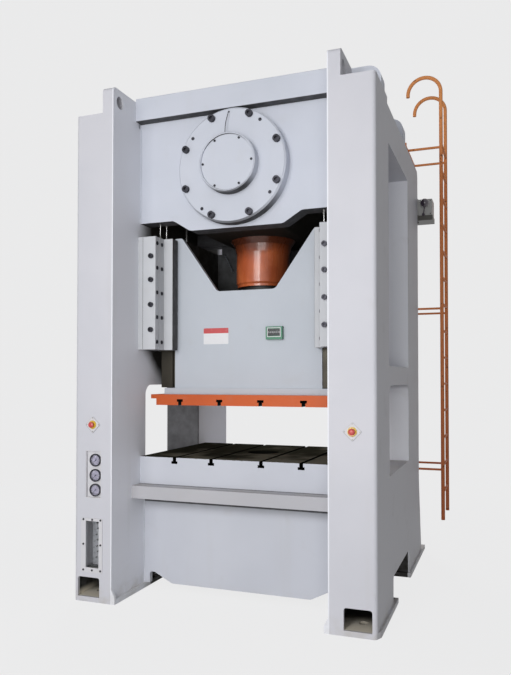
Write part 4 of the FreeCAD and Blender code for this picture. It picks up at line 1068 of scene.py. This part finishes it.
def counterParts(rim, proud, drums, inset, recess, gap, drumProud, drumShort, edges, numeral):
    # rim, number drums and figures of the stroke counter
    low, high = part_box("stroke_counter")
    left, right, bottom, top = inset
    x0, x1 = low[0] + left, high[0] - right
    z0, z1 = low[2] + bottom, high[2] - top
    front = low[1]
    frameShape, drumShape, numbers = Shape(), Shape(), Shape()
    bars = ((x0 - rim, x1 + rim, z1, z1 + rim), (x0 - rim, x1 + rim, z0 - rim, z0),
            (x0 - rim, x0, z0, z1), (x1, x1 + rim, z0, z1))
    for lowX, highX, lowZ, highZ in bars:
        frameShape.block((lowX, front - proud, lowZ), (highX, front + sunk, highZ), edges[0])
    frameShape.piece("counter_rim", "slide", "dial_white")
    floor = front + recess
    pitch = (x1 - x0) / drums
    for i in range(drums):
        x = x0 + pitch * (i + 0.5)
        half = pitch / 2 - gap
        drumShape.block((x - half, floor - drumProud, z0 + drumShort),
                        (x + half, floor + 0.0005, z1 - drumShort), edges[1])
        addText(numbers, "0", numeral, (x, floor - drumProud, (z0 + z1) / 2))
    drumShape.piece("counter_drums", "slide", "black_plastic")
    numbers.piece("counter_numbers", "slide", "dial_white")


def gaugeParts(settings):
    # dark rims over the cases, with the dials' scale and plain numbers
    rims, scale = Shape(), Shape()
    x, face = settings["middleX"], back(settings["dialDepth"])
    glass, rim = settings["glass"], settings["rim"]
    last = settings["ticks"] - 1
    for z in settings["heights"]:
        rims.turned((x, back(settings["rimDepth"]), z), forward, [
            (glass - 0.0002, 0.0035), (glass + 0.0005, 0.0058), (glass + 0.0025, 0.0072),
            (rim - 0.0015, 0.0070), (rim, 0.0050), (rim, -0.003), (rim - 0.0012, -0.003),
            (rim - 0.0014, 0.0040)], 48)
        for i in range(last + 1):
            degrees = 225 - 270 * i / last
            inner, half = (0.84, 0.0004) if i % 5 else (0.76, 0.0007)       # each fifth tick is longer
            tick = spokeOutline((x, z), degrees, glass * inner, glass * 0.94, half)
            scale.slab(tick, face - 0.0004, face + 0.0001)
            if i % 5 == 0:
                place = around((x, face - 0.0001, z), glass * 0.60, degrees)
                addText(scale, str(i // 5 * 2), settings["numeral"], place, 0.0002)
    rims.piece("gauge_rims", "frame", "bolt_steel")
    scale.piece("gauge_scales", "frame", "dial_white")


def estopScrews(settings):
    # one small screw near each corner of the two plates
    shape = Shape()
    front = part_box("estop_plates")[0][1]
    for x in (-settings["middleX"], settings["middleX"]):
        fastenerRing(shape, socketScrew, (x, front, settings["height"]), forward, settings["screwReach"],
                     turns(4), settings["screwRadius"], settings["screwHeight"], 16)
    shape.piece("estop_screws", "frame", "bolt_steel", "zinc")


airPlateSettings = {
    "sides": (-1.026, -0.878, 0.232, 0.572),            # left, right, bottom, top
    "corner": 0.004,
    "depth": 0.128,
    "thickness": 0.003,
    "unions": ((-0.984, 0.540), (-0.979, 0.497), (-0.990, 0.452), (-0.980, 0.415), (-0.986, 0.368),
               (-0.979, 0.330), (-0.990, 0.285)),
    "union": 0.0065,
}


def airPlate(sides, corner, depth, thickness, unions, union):
    # mounting plate that reaches left from the air unit, with its row of small unions
    plate, row = Shape(), Shape()
    face = back(depth)
    plate.slab(roundedOutline(*sides, corner), face, face + thickness)
    plate.piece("air_unit_plate", "frame", "aluminium", "guard_paint")
    for i, (x, z) in enumerate(unions):
        size = union * (1.0 if i % 3 else 1.25)
        nutNeck(row, (x, face, z), forward, size, 0.008, size * 0.7, size * 0.62, 0.016, 0.001)
    row.piece("air_plate_unions", "frame", "black_plastic")


inspectionSettings = {
    "opening": (-0.998, -0.890, 0.245, 0.577),          # left, right, bottom, top
    "radius": 0.0075,
    "height": 0.0035,
}


def inspectionScrews(opening, radius, height):
    # eight screws along the middle of the frame's bars
    shape = Shape()
    low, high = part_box("inspection_frame")
    left, right, bottom, top = opening
    for x in ((low[0] + left) / 2, (left + right) / 2, (right + high[0]) / 2):
        for z in ((low[2] + bottom) / 2, (bottom + top) / 2, (top + high[2]) / 2):
            if not (left < x < right and bottom < z < top):
                socketScrew(shape, (x, low[1], z), forward, radius, height)
    shape.piece("inspection_screws", "frame", "bolt_steel")


airSettings = {
    "heights": (0.300, 0.400, 0.500),   # middles of the three blocks
    "half": 0.024,
    "depth": 0.105,
    "bowl": 0.020,
    "bowlDrop": 0.030,                  # from a block's underside to its bowl's guard
    "screws": (0.003, 0.0025),          # radius and height
    "pipeEnd": 0.012,
    "pipeJoint": 0.055,                 # a union stands this far above the middle block's middle
    "knob": [(0, -sunk), (0.015, -sunk), (0.015, 0.006), (0.013, 0.016), (0.010, 0.018), (0, 0.018)],
    "gauge": [(0, -sunk), (0.006, -sunk), (0.006, 0.005), (0.0155, 0.006), (0.0155, 0.013),
              (0.0135, 0.014), (0.0135, 0.012), (0, 0.012)],
    "union": [(0.0102, -0.009), (0.0155, -0.009, True), (0.0155, 0.009, True), (0.0102, 0.009)],
}


def airParts(heights, half, depth, bowl, bowlDrop, screws, pipeEnd, pipeJoint, knob, gauge, union):
    # knob, bowl guards, gauges and unions of the air unit behind the pane
    low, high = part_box("air_unit")
    x, y = low[0] + half, back(depth)
    face = y - half - 0.001
    dark, metal = Shape(), Shape()
    guard = [(bowl + 0.0005, 0), (bowl + 0.004, 0.001), (bowl + 0.004, 0.011), (bowl + 0.0005, 0.012)]
    for z in heights:
        dark.turned((x, y, z - half - bowlDrop), upward, guard, 32)
        for side, end in ((-1, 1), (-1, -1), (1, 1), (1, -1)):
            place = (x + side * half * 0.7, face, z + end * half * 0.7)
            socketScrew(dark, place, forward, *screws, 16)
    lower, middle, upper = heights
    dark.turned((x, face, middle), forward, knob, 28)
    for z in (lower, upper):
        metal.turned((x, face, z), forward, gauge, 28)
    for z in (low[2] + pipeEnd, middle + pipeJoint, high[2] - pipeEnd):
        metal.turned((x, y, z), upward, union)
    dark.piece("air_unit_knobs", "frame", "black_plastic")
    metal.piece("air_unit_unions", "frame", "bright_metal", "zinc")


weldSettings = {
    "bead": (0.0065, 0.010),            # its leg and the length of a ripple
    "inset": 0.012,
    "bedFoot": 0.10,                    # the bed's beads start this far above its plates' feet
}


def weldRun(shape, start, end, leg, ripple):
    # a fillet with its ripples
    start, end = Vector(start), Vector(end)
    steps = int((end - start).length / (ripple / 2))
    points = [start.lerp(end, i / steps) for i in range(steps + 1)]
    shape.tube(points, [leg * (1.0 if i % 2 else 0.86) for i in range(steps + 1)], 8)


def frameWelds(bead, inset, bedFoot):
    # crown, bed and their plates welded between the uprights
    crown, bed = Shape(), Shape()
    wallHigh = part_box("crown_rear_wall")[1]
    (_, frontY, frontFoot), (_, _, frontTop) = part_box("bed_front_plate")
    (_, _, rearFoot), (_, rearY, rearTop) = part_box("bed_rear_plate")
    crownFoot = crownBottom + inset
    runs = (
        # shape, Y, foot, top
        (crown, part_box("crown_front_wall")[0][1], crownFoot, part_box("header_cover")[0][2]),
        (crown, wallHigh[1], crownFoot, wallHigh[2]),
        (bed, frontY, frontFoot + bedFoot, frontTop),
        (bed, rearY, rearFoot + bedFoot, rearTop),
    )
    for x in (-openingHalf, openingHalf):
        for shape, y, foot, top in runs:
            weldRun(shape, (x, y, foot), (x, y, top - inset), *bead)
    for y, top in ((frontY, frontTop), (rearY, rearTop)):
        weldRun(bed, (inset - openingHalf, y, top), (openingHalf - inset, y, top), *bead)
    crown.piece("crown_welds", "frame", "frame_paint", "crown", 60)
    bed.piece("bed_welds", "frame", "frame_paint", "bed_rear_plate", 60)


ladderSettings = {
    "bracketX": 0.980,
    "padFace": 2.098,
    "padReach": 0.028,
    "feet": (0.760, 2.250, 3.345),
    "bolt": 0.011,
}


def ladderBolts(bracketX, padFace, padReach, feet, bolt):
    # four bolts hold each bracket's foot to the upright
    shape = Shape()
    for z in feet:
        for dx in (-padReach, padReach):
            for dz in (-padReach, padReach):
                hexBolt(shape, (bracketX + dx, back(padFace), z + dz), rearward, bolt)
    shape.piece("ladder_bolts", "frame", "bolt_steel", "zinc")


valveSettings = {
    "left": 0.985, "right": 1.223,
    "depth": 2.120,
    "border": 0.004,
    "corner": 0.008,
    "lid": 0.003,
    "inset": 0.014,
    "screws": (0.005, 0.002),           # radius and height
    "glands": (0.05, 0.10),             # from the box's left side
    "glandBack": 0.09,
    "gland": (0.013, 0.007, 0.010, 0.0095, 0.013),
}


def valveParts(left, right, depth, border, corner, lid, inset, screws, glands, glandBack, gland):
    # lid with its screws on the box's front, and two blind glands below
    low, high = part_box("valve_box")
    bottom, top = valvePaint["caseBottom"], high[2]
    face = back(depth)
    cover, small = Shape(), Shape()
    outline = roundedOutline(left + border, right - border, bottom + border, top - border, corner)
    cover.slab(outline, face - lid, face + 0.0005)
    cover.piece("valve_box_lid", "frame", "guard_paint", "valve_box")
    for x in (left + inset, right - inset):
        for z in (bottom + inset, top - inset):
            socketScrew(small, (x, face - lid, z), forward, *screws, 16)
    for aside in glands:
        nutNeck(small, (left + aside, low[1] + glandBack, low[2] + 0.001), downward, *gland)
    small.piece("valve_box_screws", "frame", "bolt_steel")


gearCaseSettings = {
    # depth of the face, circle, angles
    "case": (1.760, 0.508, [150 + 20 * i for i in range(13)]),          # the far side from the pinion
    "cover": (1.772, 0.128, turns(8, 22.5)),
    "bearing": (1.785, 0.062, turns(6)),
    "bolt": 0.0075,
}


def gearCaseBolts(case, cover, bearing, bolt):
    # bolts of the case's cover, its inspection cap and the pinion's bearing
    shape = Shape()
    for row, x, z in ((case, 0, crankHeight), (cover, 0, crankHeight), (bearing, pinionX, pinionZ)):
        depth, circle, angles = row
        fastenerRing(shape, hexBolt, (x, back(depth), z), rearward, circle, angles, bolt)
    shape.piece("gear_case_bolts", "frame", "bolt_steel", "zinc")


guardSettings = {
    "hole": 0.210,                      # radius of the opening round the clutch
    "bolts": (0.438, (95, 140, 185, 230, 275, 320), 0.008),             # circle, angles, size
    "slotRings": ((0.285, 0.335, 10), (0.365, 0.410, 14)),              # inner and outer radius, count
    "slotAngle": 17,
    "slotProud": 0.0008,
}


def guardParts(hole, bolts, slotRings, slotAngle, slotProud):
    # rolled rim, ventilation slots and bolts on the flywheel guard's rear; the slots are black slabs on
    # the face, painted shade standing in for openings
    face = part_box("flywheel_guard")[1][1]
    middle = (pinionX, face, pinionZ)
    rim, slots, heads = Shape(), Shape(), Shape()
    rim.turned(middle, rearward, [
        (hole, -0.004), (hole + 0.012, -0.004), (hole + 0.012, 0.001), (hole + 0.008, 0.004),
        (hole + 0.004, 0.004), (hole, 0.001)], 64)
    half = slotAngle / 2
    for inner, outer, count in slotRings:
        for degrees in turns(count, 180 / count):
            outline = arc((pinionX, pinionZ), outer, degrees - half, degrees + half, 6)
            outline += arc((pinionX, pinionZ), inner, degrees + half, degrees - half, 6)
            slots.slab(outline, face - 0.0005, face + slotProud)
    fastenerRing(heads, hexBolt, middle, rearward, *bolts)
    rim.piece("guard_rim", "frame", "orange_paint", "flywheel_guard")
    slots.piece("guard_slots", "frame", "black_plastic")
    heads.piece("guard_bolts", "frame", "bolt_steel", "zinc")


clutchSettings = {
    "bolts": (0.158, turns(8), 0.009),  # circle, angles, size
    "union": 0.030,
}


def clutchParts(bolts, union):
    # bolts and the rotary air union on the end of the drive shaft
    heads, joint = Shape(), Shape()
    fastenerRing(heads, hexBolt, (pinionX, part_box("clutch_brake")[1][1], pinionZ), rearward, *bolts)
    heads.piece("clutch_bolts", "drive_shaft", "bolt_steel", "zinc")
    joint.turned((pinionX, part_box("pinion_shaft")[1][1], pinionZ), rearward, [
        (0, -sunk), (union * 0.7, -sunk, True), (union * 0.7, 0.012, True), (union * 0.6, 0.013),
        (union * 0.6, 0.018), (union, 0.019), (union, 0.060), (union * 0.9, 0.063),
        (union * 0.5, 0.064), (union * 0.5, 0.072, True), (0, 0.072)])
    joint.piece("rotary_union", "drive_shaft", "bright_metal", "zinc")


motorSettings = {
    "x": 0.420,
    "z": 3.915,
    "depths": (1.230, 1.690),           # of its two ends
    "rings": (0.030, 0.052, 0.074, 0.096, 0.118),
    "ringHalf": 0.004,
    "spokes": 12,
    "spoke": (0.020, 0.128, 0.0025),    # inner and outer end, half the width
    "lid": (0.215, -0.010, 0.0),        # the terminal box's face, from the motor's middle
    "lidHalf": 0.074,
    "lidThick": 0.006,
    "lidScrews": (0.066, 0.0045, 0.003),                # reach, radius, height
    "glandAt": (-0.030, -0.001, -0.070),                # from the lid's middle
    "gland": (0.015, 0.010, 0.012, 0.011, 0.018),
    "shield": (0.120, turns(6, 30), 0.006),             # circle, angles, size
    "feet": (0.140, 0.13, 0.10, 0.025, 0.009),          # reach, from front, from rear, height, size
}


def motorParts(x, z, depths, rings, ringHalf, spokes, spoke, lid, lidHalf, lidThick, lidScrews, glandAt,
               gland, shield, feet):
    # fan grille, terminal box lid with a blind gland, shield bolts and foot bolts
    front, rear = map(back, depths)
    grille, trim, bolts = Shape(), Shape(), Shape()
    for radius in rings:
        near, far = radius - ringHalf, radius + ringHalf
        profile = [(near, -sunk), (far, -sunk), (far, 0.003), (near, 0.003)]
        grille.turned((x, front, z), forward, profile, 48)
    for degrees in turns(spokes):
        grille.slab(spokeOutline((x, z), degrees, *spoke), front - 0.0045, front + sunk)
    grille.piece("motor_grille", "frame", "black_plastic")
    face = Vector((x, (front + rear) / 2, z)) + Vector(lid)
    low, high = Vector((-sunk, -lidHalf, -lidHalf)), Vector((lidThick, lidHalf, lidHalf))
    trim.block(face + low, face + high, 0.002)
    trim.piece("terminal_box_lid", "frame", "guard_paint")
    reach, *screw = lidScrews
    for dy in (-reach, reach):
        for dz in (-reach, reach):
            socketScrew(bolts, face + Vector((lidThick, dy, dz)), (1, 0, 0), *screw, 16)
    nutNeck(bolts, face + Vector(glandAt), downward, *gland)
    fastenerRing(bolts, hexBolt, (x, rear, z), rearward, *shield)
    reach, fromFront, fromRear, height, size = feet
    for foot in (x - reach, x + reach):
        for y in (front + fromFront, rear - fromRear):
            hexBolt(bolts, (foot, y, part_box("motor")[0][2] + height), upward, size)
    bolts.piece("motor_bolts", "frame", "bolt_steel", "zinc")


gibScrews(**gibScrewSettings)
gibSeams(**gibSeamSettings)
lubeFittings(**lubeSettings)
capFasteners(**capSettings)
greasePipe(**greasePipeSettings)
blankPlate(blankPlateSettings)
counterParts(**counterSettings)
print("crown and slide details ready")
gaugeParts(gaugeSettings)
estopScrews(estopSettings)
inspectionScrews(**inspectionSettings)
airPlate(**airPlateSettings)
airParts(**airSettings)
print("column details ready")
frameWelds(**weldSettings)
ladderBolts(**ladderSettings)
valveParts(**valveSettings)
gearCaseBolts(**gearCaseSettings)
guardParts(**guardSettings)
clutchParts(**clutchSettings)
motorParts(**motorSettings)
print("rear drive and ladder details ready")
